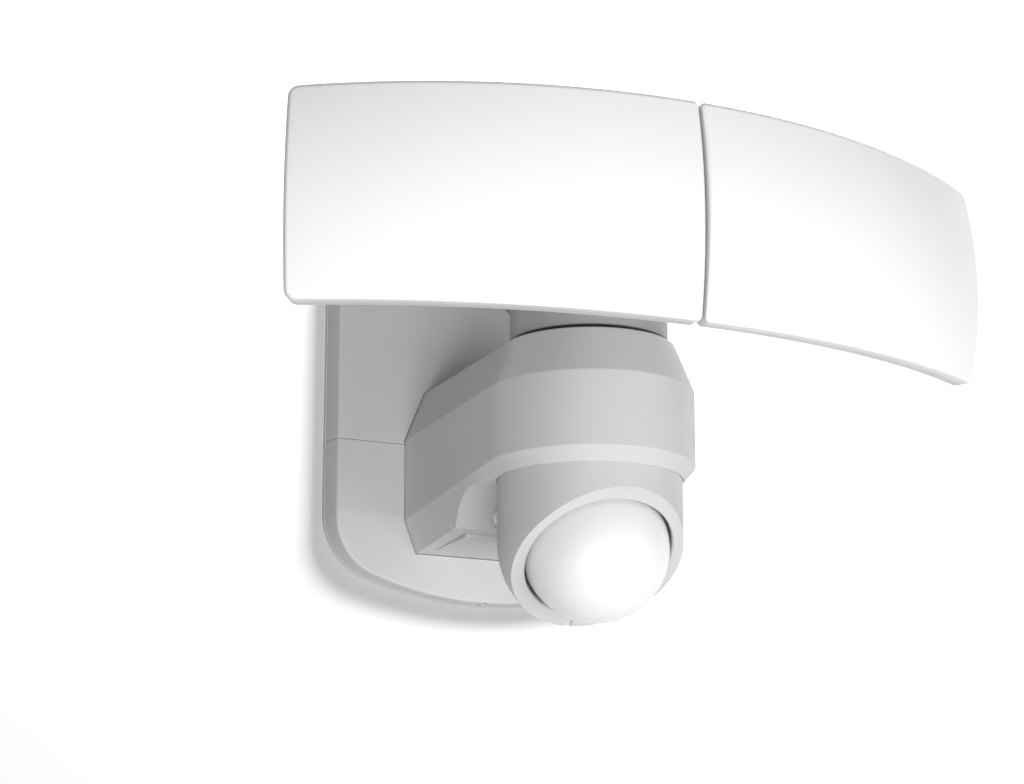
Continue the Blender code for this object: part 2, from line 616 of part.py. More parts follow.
def panel_block(name, side, inset, front, back, finish, crown=True, cuts=10):
    """A block bent to the panel's arc. Its edges lie inset from the panel's outline."""
    low = PANEL_HALF_GAP + inset
    high = PANEL_RADIUS * PANEL_HALF_ANGLE - inset
    half = PANEL_HALF_HEIGHT - inset
    bm = bmesh.new()
    bmesh.ops.create_cube(bm, size=1.0)
    bmesh.ops.scale(bm, vec=(high - low, back - front, 2 * half), verts=bm.verts)
    bmesh.ops.translate(bm, vec=((high + low) / 2, (front + back) / 2, 0), verts=bm.verts)
    for x, radius in ((low, PANEL_INNER_CORNER), (high, PANEL_OUTER_CORNER)):
        corners = [edge for edge in bm.edges
                   if all(abs(vert.co.x - x) < 0.01 for vert in edge.verts)
                   and edge.verts[0].co.z * edge.verts[1].co.z > 0]
        corner = max(radius - inset, 0.8)
        bmesh.ops.bevel(bm, geom=corners, offset=corner, segments=3, profile=0.5, affect="EDGES")
    if front == 0:
        rim = [edge for edge in bm.edges if all(vert.co.y < front + 0.01 for vert in edge.verts)]
        bmesh.ops.bevel(bm, geom=rim, offset=PANEL_RIM_ROUND, segments=2, profile=0.5, affect="EDGES")
    planes = [((low + (high - low) * i / cuts, 0, 0), (1, 0, 0)) for i in range(1, cuts)]
    if crown:
        planes += [((0, 0, half * i / 3), (0, 0, 1)) for i in range(-2, 3)]
    for point, normal in planes:
        geometry = list(bm.verts) + list(bm.edges) + list(bm.faces)
        bmesh.ops.bisect_plane(bm, geom=geometry, plane_co=point, plane_no=normal)
    bmesh.ops.triangulate(bm, faces=bm.faces)
    for vert in bm.verts:
        place = panel_point(vert.co.x, vert.co.z, vert.co.y, crown)
        vert.co = (side * place.x, place.y, place.z)
    return link_bmesh(name, bm, finish)


def make_panel(word, side, parent):
    empty = axis_empty(f"{word}_panel_swing_axis", (side * HINGE_X, HINGE_Y, PANEL_MID_Z), parent)
    housing = panel_block(f"{word}_back_housing", side, 0.0, PANEL_SPLIT + GAP, PANEL_DEPTH,
                          "housing_grey")
    hollow = panel_block(f"{word}_housing_hollow", side, PANEL_WALL, -5.0, PANEL_DEPTH - 1.8, None,
                         crown=False)
    boolean(housing, hollow)
    for low, high in ((23.0, 40.0), (62.0, 79.0)):
        lug = outline_solid(f"{word}_hinge_lug", knuckle_outline(side, -235.5, -215.0), low, high, "Z",
                            None)
        boolean(housing, lug, "UNION")
    x = side * HINGE_X
    bore = cylinder(f"{word}_lug_bore", HINGE_PIN_RADIUS + GAP, (x, HINGE_Y, 10), (x, HINGE_Y, 90), None,
                    16)
    boolean(housing, bore)
    diffuser = panel_block(f"{word}_diffuser", side, 0.0, 0.0, PANEL_SPLIT, "opal_white")
    inside = panel_block(f"{word}_diffuser_hollow", side, PANEL_WALL, PANEL_WALL, PANEL_SPLIT + 3, None)
    boolean(diffuser, inside)
    seal = panel_block(f"{word}_panel_seal", side, PANEL_WALL + GAP, 5.0, 8.6, "dark_rubber")
    seal_hollow = panel_block(f"{word}_seal_hollow", side, PANEL_WALL + 1.9, 2.0, 12.0, None)
    boolean(seal, seal_hollow)
    spreader = panel_block(f"{word}_heat_spreader", side, 4.4, 11.4, 12.9, "aluminium", crown=False)
    board = panel_block(f"{word}_led_board", side, 7.0, 10.1, 11.1, "board_white", crown=False)
    hang_on(empty, housing, diffuser, seal, spreader, board)


# ---------------------------------------------------------------- sensor

def lens_direction():
    """The way the lens looks: forward and down."""
    return Matrix.Rotation(LENS_ANGLE, 3, "X") @ Vector((0, 0, -1))


def dome_profile(outer, inner, back):
    """A cap of a sphere in (radius, height), open at its back, facing -Z."""
    rim = math.degrees(math.asin(back / outer))
    inner_rim = math.degrees(math.asin(back / inner))
    outside = arc((0, 0), outer, rim, -90, 11)
    inside = arc((0, 0), inner, -90, inner_rim, 8)
    inside[0] = (0, -inner)
    outside[-1] = (0, -outer)
    return inside + outside


def make_turret():
    empty = axis_empty("sensor_pan_axis", (0, HEAD_Y, TURRET_TOP))
    look = lens_direction()
    profile = [(0, -29.0), (STEM_RADIUS + 2.0, -29.0), (STEM_RADIUS + 2.0, TURRET_TOP),
               (TURRET_RADIUS, TURRET_TOP)]
    profile += arc((0, TURRET_ROUND_Z), TURRET_RADIUS, 0, -90, 9)
    profile[-1] = (0, TURRET_ROUND_Z - TURRET_RADIUS)
    turret = lathe("sensor_turret", profile, "housing_grey", place=(0, HEAD_Y, 0))

    rim_centre = BALL_CENTRE + look * RIM_OFFSET
    face = cylinder("turret_face_cut", 90.0, rim_centre, rim_centre + look * 60, None)
    boolean(turret, face)
    bm = bmesh.new()
    bmesh.ops.create_uvsphere(bm, u_segments=32, v_segments=16, radius=BALL_CAVITY_RADIUS)
    bmesh.ops.translate(bm, vec=BALL_CENTRE, verts=bm.verts)
    cut_flat(bm, rim_centre - look * 3.0, look)
    cut_flat(bm, (0, 0, TURRET_TOP - 2.7), (0, 0, 1))
    boolean(turret, link_bmesh("ball_cavity", bm, None))
    opening = cylinder("lens_opening", OPENING_RADIUS, rim_centre - look * 3.5, rim_centre + look * 20,
                       None, ROUND_STEPS)
    boolean(turret, opening)
    boolean(turret, cylinder("turret_wire_bore", 7.0, (0, HEAD_Y, -60), (0, HEAD_Y, -20), None))
    pieces = [turret]
    pivot = cylinder("pivot_bore", 2.3, BALL_CENTRE + Vector((-39.5, 0, 0)),
                     BALL_CENTRE + Vector((39.5, 0, 0)), None, 16)
    boolean(turret, pivot)
    notch = cylinder("rim_notch", 1.6, (0, -101.0, -121.5), (0, -108.0, -112.5), None, 12)
    boolean(turret, notch)
    for name, side in (("ball_pivot_left", -1), ("ball_pivot_right", 1)):
        pieces.append(cylinder(name, 2.0, BALL_CENTRE + Vector((side * 32.0, 0, 0)),
                               BALL_CENTRE + Vector((side * 39.0, 0, 0)), "steel", 16))
    pieces.append(lathe("turret_retainer", [(30.0, -34.0), (30.0, -40.1), (20.4, -40.1), (20.4, -34.0)],
                        "bearing_plastic", place=(0, HEAD_Y, 0), steps=RING_STEPS, ring=True))
    hang_on(empty, *pieces)
    return empty


def make_ball(parent):
    empty = axis_empty("sensor_tilt_axis", BALL_CENTRE, parent)
    turn = (LENS_ANGLE, 0, 0)
    place = BALL_CENTRE
    dome = lathe("lens_dome", dome_profile(BALL_RADIUS, BALL_RADIUS - 1.6, BALL_BACK), "lens_white",
                 place=place, turn=turn, steps=32)
    pivot = cylinder("dome_pivot_bore", 2.3, BALL_CENTRE + Vector((-39.5, 0, 0)),
                     BALL_CENTRE + Vector((39.5, 0, 0)), None, 16)
    boolean(dome, pivot)
    back = lathe("ball_back_shell", [(0, 17.0), (24.0, 17.0), (30.6, 14.6), (32.0, 12.3), (30.2, 12.3),
                                     (30.2, 11.0), (28.6, 11.0), (28.6, 13.4), (23.4, 15.2), (0, 15.2)],
                 "dark_plastic", place=place, turn=turn, steps=RING_STEPS)
    board = lathe("sensor_board", [(0, 6.6), (28.0, 6.6), (28.0, 5.0), (0, 5.0)], "circuit_green",
                  place=place, turn=turn, steps=RING_STEPS)
    detector = lathe("pyro_detector", [(0, 4.7), (4.9, 4.7), (4.9, 4.0), (4.3, 4.0), (4.3, 0.4),
                                       (3.6, 0.0), (0, 0.0)],
                     "steel", place=place, turn=turn, steps=SMALL_STEPS)
    hang_on(empty, dome, back, board, detector)


# ---------------------------------------------------------------- finish

def apply_modifiers():
    """Turn every part into its final mesh and shade it smooth up to sharp edges."""
    depsgraph = bpy.context.evaluated_depsgraph_get()
    parts = [obj for obj in bpy.data.collections[PARTS].objects if obj.type == "MESH"]
    finished = [(obj, bpy.data.meshes.new_from_object(obj.evaluated_get(depsgraph))) for obj in parts]
    for obj, mesh in finished:
        obj.modifiers.clear()
        obj.data = mesh
        mesh.shade_smooth()
        mesh.set_sharp_from_angle(angle=math.radians(35))


def main():
    clear_scene()
    make_base()
    make_arm()
    swivel = make_column()
    tilt = make_yoke(swivel)
    for word, side in (("left", -1), ("right", 1)):
        make_panel(word, side, tilt)
    pan = make_turret()
    make_ball(pan)
    apply_modifiers()


main()
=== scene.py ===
"""Floodlight security light: the finished look of every piece, built round the CAD frame.

Lengths inside the modelling functions are millimetres in the object's own frame: the wall is
y = 0, the light faces -Y and +Z is up. Meshes are scaled to metres when a piece is finished.
"""
import json
import math

import bmesh
import bpy
from mathutils import Matrix, Vector

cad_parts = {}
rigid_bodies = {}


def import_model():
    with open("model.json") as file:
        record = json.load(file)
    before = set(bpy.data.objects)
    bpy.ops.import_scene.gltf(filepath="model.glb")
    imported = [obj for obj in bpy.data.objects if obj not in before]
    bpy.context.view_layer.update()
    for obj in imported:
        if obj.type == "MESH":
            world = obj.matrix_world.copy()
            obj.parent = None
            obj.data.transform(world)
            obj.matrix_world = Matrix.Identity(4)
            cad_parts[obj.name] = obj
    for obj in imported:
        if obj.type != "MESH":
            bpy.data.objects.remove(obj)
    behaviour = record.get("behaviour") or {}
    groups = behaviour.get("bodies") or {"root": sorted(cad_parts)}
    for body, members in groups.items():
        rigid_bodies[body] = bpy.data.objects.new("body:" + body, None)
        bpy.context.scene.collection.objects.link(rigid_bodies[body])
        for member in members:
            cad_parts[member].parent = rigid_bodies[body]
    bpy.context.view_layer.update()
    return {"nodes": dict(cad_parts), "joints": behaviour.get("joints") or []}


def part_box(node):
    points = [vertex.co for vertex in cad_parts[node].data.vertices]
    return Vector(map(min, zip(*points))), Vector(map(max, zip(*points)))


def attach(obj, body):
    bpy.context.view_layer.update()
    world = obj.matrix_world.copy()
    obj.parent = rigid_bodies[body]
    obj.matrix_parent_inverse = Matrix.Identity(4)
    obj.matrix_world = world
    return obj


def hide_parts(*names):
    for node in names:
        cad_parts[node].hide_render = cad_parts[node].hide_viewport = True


bl_info = {
    "name": "Floodlight security light",
    "version": (1, 0, 0),
    "blender": (4, 5, 0),
    "location": "View3D > Sidebar > Floodlight",
    "description": "Builds a wall floodlight with two curved light panels and a motion sensor",
    "category": "Object",
}

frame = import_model()

MM = 0.001
QUARTER = math.pi / 2
CUT = "DIFFERENCE"
ADD = "UNION"
JOINT_AT = {joint["name"]: Vector(joint["pos_m"]) / MM for joint in frame["joints"]}
GAP = 0.3

# Wall base.
BASE_HALF_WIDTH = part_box("upper_cover")[1].x / MM
BASE_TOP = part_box("upper_cover")[1].z / MM
BASE_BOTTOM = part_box("lower_cover")[0].z / MM
COVER_FRONT = -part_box("upper_cover")[0].y / MM
PLATE_DEPTH = 2.5
BASE_CORNER = 34.0
BASE_CORNER_Z = -48.1
TOP_CORNER = 14.0
COVER_DRAFT = 3.3
COVER_WALL = 2.3
COVER_SEAM_Z = -12.0
COVER_BEND_Z = -49.0
COVER_SLOPE_DROP = 5.7
BEND_RADIUS = 20.0
LOCK_Y = -5.4
POCKET_DEPTH = 0.9
FIXING_X = 62
CABLE_Z = 66

# Arm and round head.
HEAD_Y = JOINT_AT["head_swivel"].y
ROOT_Y = -PLATE_DEPTH - GAP
ARM_STRAIGHT_Y = -14.0
HEAD_SECTION = ((40.9, 14.5), (50.0, -8.0), (50.0, -43.7), (44.6, -50.0))
ARM_HEAD_SECTION = ((40.9, 14.5), (49.9, -8.1), (49.9, -43.6), (44.3, -64.0))
ARM_ROOT_SECTION = ((36.0, 16.0), (46.6, -10.0), (46.3, -51.0), (39.0, -67.0))
STEP_FRONT_Y = -100.0
STEP_BACK_Y = -68.3
STEP_HEIGHT = 14.4
STEP_POWER = 1.75
RECESS_TOP = -43.4
RECESS_RADIUS = 44.0
HEAD_STEPS = 72
LID_CLIP_X = 24
DIAL_X = JOINT_AT["twilight_dial_turn"].x
DIAL_Z = JOINT_AT["twilight_dial_turn"].z

# Column, fork and yoke.
TILT = JOINT_AT["panel_tilt"]
HINGE = JOINT_AT["right_panel_swing"]

# Light panels.
PANEL_RADIUS = 328.1
PANEL_ARC_Y = 78.1
PANEL_HALF_ANGLE = math.radians(33.07)
PANEL_HALF_GAP = 0.7
PANEL_MID_Z = HINGE.z
PANEL_HALF_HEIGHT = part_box("right_diffuser")[1].z / MM - PANEL_MID_Z
PANEL_CROWN = 5.6
PANEL_TAPER = 2.3
PANEL_DEPTH = 15.0
PANEL_SPLIT = 6.4
PANEL_WALL = 2.0
PANEL_INNER_CORNER = 2.6
PANEL_OUTER_CORNER = 5.0
PANEL_COLUMNS = 40
PANEL_ROWS = 10
GROOVE_COUNT = 9
GROOVE_START = 62.0
GROOVE_PITCH = 9.0

# Sensor.
BALL = JOINT_AT["sensor_tilt"]
BALL_RADIUS = 34.5
BALL_BACK = 12.0
DOME_WALL = 1.6
BALL_ROOM = 2.0
LENS_ANGLE = math.radians(-38.17)
RIM_OFFSET = 5.9
OPENING_RADIUS = 35.8
TURRET_TOP = JOINT_AT["sensor_pan"].z
TURRET_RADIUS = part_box("sensor_turret")[1].x / MM
TURRET_ROUND_Z = -79.0

# Stage, in metres.
FLOOR_Z = -1.6
STAGE_REACH = 3.0
TOUCHING = 0.004
LIGHT_TARGET = Vector((0.0, -0.12, -0.02))


# ---------------------------------------------------------------- settings a user would change

class FloodlightSizes(bpy.types.PropertyGroup):
    turned_steps: bpy.props.IntProperty(
        name="Turned steps", description="Segments round the turned pieces", default=112, min=24, max=256)
    edge_round: bpy.props.FloatProperty(
        name="Edge rounding", description="Radius on the moulded edges", default=0.0012, min=0.0002,
        max=0.002, unit="LENGTH", precision=4)
    rim_round: bpy.props.FloatProperty(
        name="Panel rim rounding", description="Radius round the front of the light panels",
        default=0.0024, min=0.0005, max=0.003, unit="LENGTH", precision=4)
    grip_count: bpy.props.IntProperty(
        name="Dial grips", description="Grip notches round each setting dial", default=20, min=6, max=36)


class FloodlightColours(bpy.types.PropertyGroup):
    housing: bpy.props.FloatVectorProperty(
        name="Housing", description="Moulded housing", subtype="COLOR", size=3, min=0, max=1,
        default=(0.575, 0.575, 0.568))
    panel: bpy.props.FloatVectorProperty(
        name="Light panel", description="Opal front of the light panels", subtype="COLOR", size=3,
        min=0, max=1, default=(0.96, 0.96, 0.96))
    lens: bpy.props.FloatVectorProperty(
        name="Sensor lens", description="Opal sensor dome", subtype="COLOR", size=3, min=0, max=1,
        default=(0.86, 0.86, 0.86))
    dial: bpy.props.FloatVectorProperty(
        name="Dials", description="Setting dials and other white plastic", subtype="COLOR", size=3,
        min=0, max=1, default=(0.74, 0.74, 0.73))


def sizes():
    return bpy.context.scene.floodlight_sizes


# ---------------------------------------------------------------- shader groups and finishes

DUST_COLOUR = (0.62, 0.60, 0.56, 1)
# Painted shade: the colour that darkens the rims of the light panels, whose faces turn away from the front.
RIM_PAINTED_SHADE_COLOUR = (0.68, 0.68, 0.68, 1)
# Painted shade: the factor that darkens the housing grey on the column, for the shade it lies in between
# the head and the panels.
COLUMN_PAINTED_SHADE = 0.58
PLATE_SHADE = 1.15
GROUPS = {}
MATERIALS = {}


def set_inputs(tree, node, inputs):
    """Give a node's inputs, by name or number, a value or the output of another node."""
    for key, value in inputs.items():
        if isinstance(value, bpy.types.NodeSocket):
            tree.links.new(value, node.inputs[key])
        else:
            node.inputs[key].default_value = value


def add_node(tree, kind, inputs, **settings):
    node = tree.nodes.new("ShaderNode" + kind)
    for name, value in settings.items():
        setattr(node, name, value)
    set_inputs(tree, node, inputs)
    return node


def object_place(tree):
    return add_node(tree, "TexCoord", {}).outputs["Object"]


def noise(tree, scale, detail, roughness, place=None):
    """The value of a noise over the object's own coordinates."""
    return add_node(tree, "TexNoise", {"Vector": place or object_place(tree), "Scale": scale,
                                       "Detail": detail, "Roughness": roughness}).outputs["Fac"]


def spread(tree, value, low, high):
    """Map 0.3 to 0.7, where most of a noise lies, to low to high."""
    return add_node(tree, "MapRange", {"Value": value, "From Min": 0.3, "From Max": 0.7,
                                       "To Min": low, "To Max": high}).outputs["Result"]


def make_group(name, inputs, outputs):
    """An empty shader group with its sockets and its two end nodes."""
    group = bpy.data.node_groups.new(name, "ShaderNodeTree")
    for socket, kind, value in inputs:
        item = group.interface.new_socket(name=socket, in_out="INPUT", socket_type=kind)
        item.default_value = value
    for socket, kind in outputs:
        group.interface.new_socket(name=socket, in_out="OUTPUT", socket_type=kind)
    start = group.nodes.new("NodeGroupInput")
    end = group.nodes.new("NodeGroupOutput")
    GROUPS[name] = group
    return group, start.outputs, end


def make_shade_drift():
    """Slow, faint drift in the shade of a moulding, as pigment and handling leave it."""
    group, given, end = make_group(
        "shade_drift",
        [("Colour", "NodeSocketColor", (0.5, 0.5, 0.5, 1)), ("Amount", "NodeSocketFloat", 0.05),
         ("Size", "NodeSocketFloat", 20.0)],
        [("Colour", "NodeSocketColor")])
    centred = spread(group, noise(group, given["Size"], 3.0, 0.55), -1.0, 1.0)
    scaled = add_node(group, "Math", {0: centred, 1: given["Amount"], 2: 1.0}, operation="MULTIPLY_ADD")
    tint = add_node(group, "VectorMath", {0: given["Colour"], "Scale": scaled.outputs["Value"]},
                    operation="SCALE")
    set_inputs(group, end, {"Colour": tint.outputs["Vector"]})


def make_moulded_grain():
    """Height of the fine spark-eroded grain on moulded plastic, over a slow ripple."""
    group, given, end = make_group(
        "moulded_grain",
        [("Grain", "NodeSocketFloat", 900.0), ("Ripple", "NodeSocketFloat", 30.0),
         ("Ripple Share", "NodeSocketFloat", 0.3)],
        [("Height", "NodeSocketFloat")])
    fine = noise(group, given["Grain"], 2.0, 0.6)
    slow = noise(group, given["Ripple"], 1.0, 0.5)
    mix = add_node(group, "Mix", {0: given["Ripple Share"], 2: fine, 3: slow}, data_type="FLOAT")
    set_inputs(group, end, {"Height": mix.outputs[0]})


def make_handling():
    """Roughness broken up by wiping and handling, and a mask of thin dust that lies in patches."""
    group, given, end = make_group(
        "handling",
        [("Roughness", "NodeSocketFloat", 0.45), ("Amount", "NodeSocketFloat", 0.08),
         ("Size", "NodeSocketFloat", 60.0)],
        [("Roughness", "NodeSocketFloat"), ("Dust", "NodeSocketFloat")])
    patches = noise(group, given["Size"], 5.0, 0.65)
    shifted = add_node(group, "Math", {0: spread(group, patches, -1.0, 1.0), 1: given["Amount"],
                                       2: given["Roughness"]}, operation="MULTIPLY_ADD")
    set_inputs(group, end, {"Roughness": shifted.outputs["Value"],
                            "Dust": spread(group, patches, 0.0, 1.0)})


def place_group(tree, name, **values):
    """Place a shader group in a material; an underscore in a word stands for a space."""
    node = tree.nodes.new("ShaderNodeGroup")
    node.node_tree = GROUPS[name]
    set_inputs(tree, node, {socket.replace("_", " "): value for socket, value in values.items()})
    return node


def new_material(name):
    material = bpy.data.materials.new(name)
    material.use_nodes = True
    tree = material.node_tree
    return material, tree, tree.nodes["Principled BSDF"]


def moulded(name, colour, roughness, grain=900.0, depth=0.15, drift=0.04, dust=0.05, wiped=0.07,
            **constants):
    """A moulded finish: drifting shade, broken roughness, a little dust and a fine grain."""
    material, tree, shader = new_material(name)
    shade = place_group(tree, "shade_drift", Colour=(*colour, 1), Amount=drift, Size=18.0)
    wear = place_group(tree, "handling", Roughness=roughness, Amount=wiped, Size=55.0)
    cover = add_node(tree, "Math", {0: wear.outputs["Dust"], 1: dust}, operation="MULTIPLY")
    dusted = add_node(tree, "Mix", {0: cover.outputs["Value"]}, data_type="RGBA")
    set_inputs(tree, dusted, {6: shade.outputs["Colour"], 7: DUST_COLOUR})
    height = place_group(tree, "moulded_grain", Grain=grain, Ripple=25.0, Ripple_Share=0.25)
    bump = add_node(tree, "Bump", {"Strength": depth, "Distance": 0.0004,
                                   "Height": height.outputs["Height"]})
    set_inputs(tree, shader, {"Base Color": dusted.outputs[2], "Roughness": wear.outputs["Roughness"],
                              "Normal": bump.outputs["Normal"]})
    for socket, value in constants.items():
        shader.inputs[socket.replace("_", " ")].default_value = value
    return material


def brushed(name, colour, roughness, stretch):
    """A metal whose fine scratches run along one axis, with the stretch of each axis."""
    material, tree, shader = new_material(name)
    mapping = add_node(tree, "Mapping", {"Vector": object_place(tree), "Scale": stretch})
    scratches = noise(tree, 500.0, 4.0, 0.6, mapping.outputs["Vector"])
    shade = place_group(tree, "shade_drift", Colour=(*colour, 1), Amount=0.06, Size=40.0)
    bump = add_node(tree, "Bump", {"Strength": 0.12, "Distance": 0.0002, "Height": scratches})
    set_inputs(tree, shader, {"Base Color": shade.outputs["Colour"],
                              "Roughness": spread(tree, scratches, roughness - 0.08, roughness + 0.10),
                              "Normal": bump.outputs["Normal"], "Metallic": 1.0})
    return material


def sensor_lens(name, colour):
    """Glossy opal dome: small lens cells pressed on its inside show through very faintly."""
    material = moulded(name, colour, 0.34, grain=300.0, depth=0.01, drift=0.006, dust=0.0, wiped=0.015,
                       Coat_Weight=0.15, Coat_Roughness=0.2)
    tree = material.node_tree
    grain = next(node for node in tree.nodes if node.type == "BUMP")
    cells = add_node(tree, "TexVoronoi", {"Vector": object_place(tree), "Scale": 130.0},
                     feature="DISTANCE_TO_EDGE")
    edge = add_node(tree, "MapRange", {"Value": cells.outputs["Distance"], "From Max": 0.05})
    bump = add_node(tree, "Bump", {"Strength": 0.01, "Distance": 0.0003, "Height": edge.outputs["Result"]})
    set_inputs(tree, grain, {"Normal": bump.outputs["Normal"]})
    return material


def opal_panel(name, colour):
    """Opal light panel: a plain satin white whose rim, where its faces turn away from the front, is
    darkened by painted shade.
    """
    material = moulded(name, colour, 0.34, grain=500.0, depth=0.03, drift=0.01, dust=0.0, wiped=0.04)
    tree = material.node_tree
    shader = tree.nodes["Principled BSDF"]
    # Painted shade: the further a face turns away from the front, the more its white is multiplied towards
    # the grey rim colour.
    normal = add_node(tree, "TexCoord", {}).outputs["Normal"]
    facing = add_node(tree, "SeparateXYZ", {0: normal}).outputs["Y"]
    rim = add_node(tree, "MapRange", {"Value": facing, "From Min": -0.78, "From Max": -0.45})
    shade = add_node(tree, "Mix", {0: rim.outputs["Result"]}, data_type="RGBA", blend_type="MULTIPLY")
    set_inputs(tree, shade, {6: shader.inputs["Base Color"].links[0].from_socket,
                             7: RIM_PAINTED_SHADE_COLOUR})
    set_inputs(tree, shader, {"Base Color": shade.outputs[2]})
    return material


def make_materials():
    make_shade_drift()
    make_moulded_grain()
    make_handling()
    shades = bpy.context.scene.floodlight_colours
    housing = tuple(shades.housing)
    dial = tuple(shades.dial)
    MATERIALS["housing"] = moulded("housing_grey", housing, 0.46, depth=0.10, drift=0.02, dust=0.04)
    # Painted shade: a darker copy of the housing grey for the column, standing for the shade under the
    # panels and above the head.
    MATERIALS["column"] = moulded("column_painted_shade_grey", tuple(value * COLUMN_PAINTED_SHADE for value in housing), 0.50,
                                  depth=0.10, drift=0.02, dust=0.03)
    MATERIALS["plate"] = moulded("plate_grey", tuple(min(1, value * PLATE_SHADE) for value in housing),
                                 0.50)
    MATERIALS["diffuser"] = opal_panel("opal_panel", tuple(shades.panel))
    MATERIALS["lens"] = sensor_lens("opal_lens", tuple(shades.lens))
    MATERIALS["rubber"] = moulded("black_rubber", (0.025, 0.025, 0.026), 0.72, grain=1400.0, depth=0.2,
                                  dust=0.10)
    MATERIALS["dark_plastic"] = moulded("dark_plastic", (0.05, 0.05, 0.052), 0.42, dust=0.03)
    MATERIALS["white_plastic"] = moulded("white_plastic", dial, 0.40, dust=0.03)
    MATERIALS["steel"] = brushed("zinc_steel", (0.60, 0.60, 0.61), 0.30, (1.0, 1.0, 0.08))
    MATERIALS["aluminium"] = brushed("aluminium", (0.78, 0.78, 0.79), 0.38, (0.05, 1.0, 1.0))
    MATERIALS["circuit"] = moulded("circuit_green", (0.035, 0.17, 0.07), 0.36, grain=260.0, depth=0.08,
                                   dust=0.02, Coat_Weight=0.4)
    MATERIALS["led_board"] = moulded("board_white", (0.83, 0.83, 0.82), 0.42, grain=300.0, depth=0.06)
    MATERIALS["transformer"] = moulded("winding_tape", (0.72, 0.46, 0.06), 0.36, grain=120.0, depth=0.1)
    MATERIALS["bearing"] = moulded("bearing_plastic", (0.62, 0.60, 0.52), 0.32, dust=0.02)
    MATERIALS["relay"] = moulded("relay_blue", (0.03, 0.10, 0.34), 0.38, dust=0.02)
    for word, colour in (("brown", (0.16, 0.07, 0.03)), ("blue", (0.03, 0.09, 0.38)),
                         ("green", (0.10, 0.34, 0.06))):
        MATERIALS["wire_" + word] = moulded("wire_" + word, colour, 0.44, grain=600.0, depth=0.05)


# ---------------------------------------------------------------- modelling helpers

def bend_arc(centre, radius, start, end, steps):
    """Points on an arc, with the angles in degrees."""
    points = []
    for i in range(steps + 1):
        angle = math.radians(start + (end - start) * i / steps)
        points.append((centre[0] + radius * math.cos(angle), centre[1] + radius * math.sin(angle)))
    return points


def round_corners(points, radii, steps=5, closed=True):
    """Replace the corners of an outline by arcs of the given radii."""
    rounded = []
    count = len(points)
    for i, (point, radius) in enumerate(zip(points, radii)):
        corner = Vector(point)
        if radius == 0 or (not closed and i in (0, count - 1)):
            rounded.append(tuple(corner))
            continue
        back = (Vector(points[i - 1]) - corner).normalized()
        ahead = (Vector(points[(i + 1) % count]) - corner).normalized()
        half = back.angle(ahead) / 2
        reach = radius / math.tan(half)
        middle = corner + (back + ahead).normalized() * (radius / math.sin(half))
        start = corner + back * reach - middle
        end = corner + ahead * reach - middle
        turn = start.angle(end)
        for k in range(steps + 1):
            share = k / steps
            spoke = (start * math.sin((1 - share) * turn) + end * math.sin(share * turn)) / math.sin(turn)
            rounded.append(tuple(middle + spoke))
    return rounded


def rounded_box(left, right, low, high, radius, steps):
    """Outline of a rectangle with round corners."""
    return round_corners([(left, low), (right, low), (right, high), (left, high)], [radius] * 4, steps)


def face_outward(bm):
    """Merge doubles and turn every face of a closed shape outwards."""
    bmesh.ops.remove_doubles(bm, verts=bm.verts, dist=0.0005)
    bmesh.ops.recalc_face_normals(bm, faces=bm.faces)
    if bm.calc_volume(signed=True) < 0:
        bmesh.ops.reverse_faces(bm, faces=bm.faces)


def turned(profile, steps=None, ring=False):
    """Turn a (radius, height) profile about Z into a closed body."""
    bm = bmesh.new()
    verts = [bm.verts.new((radius, 0, height)) for radius, height in profile]
    edges = [bm.edges.new(pair) for pair in zip(verts, verts[1:])]
    if ring:
        edges.append(bm.edges.new((verts[-1], verts[0])))
    bmesh.ops.spin(bm, geom=verts + edges, cent=(0, 0, 0), axis=(0, 0, 1), angle=2 * math.pi,
                   steps=steps or sizes().turned_steps, use_merge=True)
    face_outward(bm)
    return bm


def prism(outline, start, end, axis):
    """Extrude a flat outline: (y, z) along X, (x, z) along Y or (x, y) along Z."""
    bm = bmesh.new()
    places = {"X": lambda u, v: (start, u, v), "Y": lambda u, v: (u, start, v),
              "Z": lambda u, v: (u, v, start)}
    direction = {"X": Vector((1, 0, 0)), "Y": Vector((0, 1, 0)), "Z": Vector((0, 0, 1))}[axis]
    face = bm.faces.new([bm.verts.new(places[axis](u, v)) for u, v in outline])
    grown = bmesh.ops.extrude_face_region(bm, geom=[face])
    far = [item for item in grown["geom"] if isinstance(item, bmesh.types.BMVert)]
    bmesh.ops.translate(bm, vec=direction * (end - start), verts=far)
    face_outward(bm)
    return bm


def turned_rounded(points, radii, corner_steps, steps=None):
    """Turn a profile that starts and ends on the axis, with its corners rounded."""
    return turned(round_corners(points, radii, corner_steps, closed=False), steps)


def block(low, high):
    bm = bmesh.new()
    bmesh.ops.create_cube(bm, size=1.0)
    low, high = Vector(low), Vector(high)
    bmesh.ops.scale(bm, vec=high - low, verts=bm.verts)
    bmesh.ops.translate(bm, vec=(low + high) / 2, verts=bm.verts)
    return bm


def rod(radius, start, end, steps=48):
    """A round bar between two points, used as a cutter or joined into a moulding."""
    start, end = Vector(start), Vector(end)
    bm = bmesh.new()
    bmesh.ops.create_cone(bm, cap_ends=True, segments=steps, radius1=radius, radius2=radius,
                          depth=(end - start).length)
    turn = Vector((0, 0, 1)).rotation_difference(end - start).to_matrix().to_4x4()
    bmesh.ops.transform(bm, matrix=Matrix.Translation((start + end) / 2) @ turn, verts=bm.verts)
    return bm


def moved(bm, place=(0, 0, 0), turn=None):
    """Turn a shape about the origin and then carry it to its place."""
    if turn:
        bmesh.ops.transform(bm, matrix=Matrix.Rotation(turn[1], 4, turn[0]), verts=bm.verts)
    bmesh.ops.translate(bm, vec=place, verts=bm.verts)
    return bm


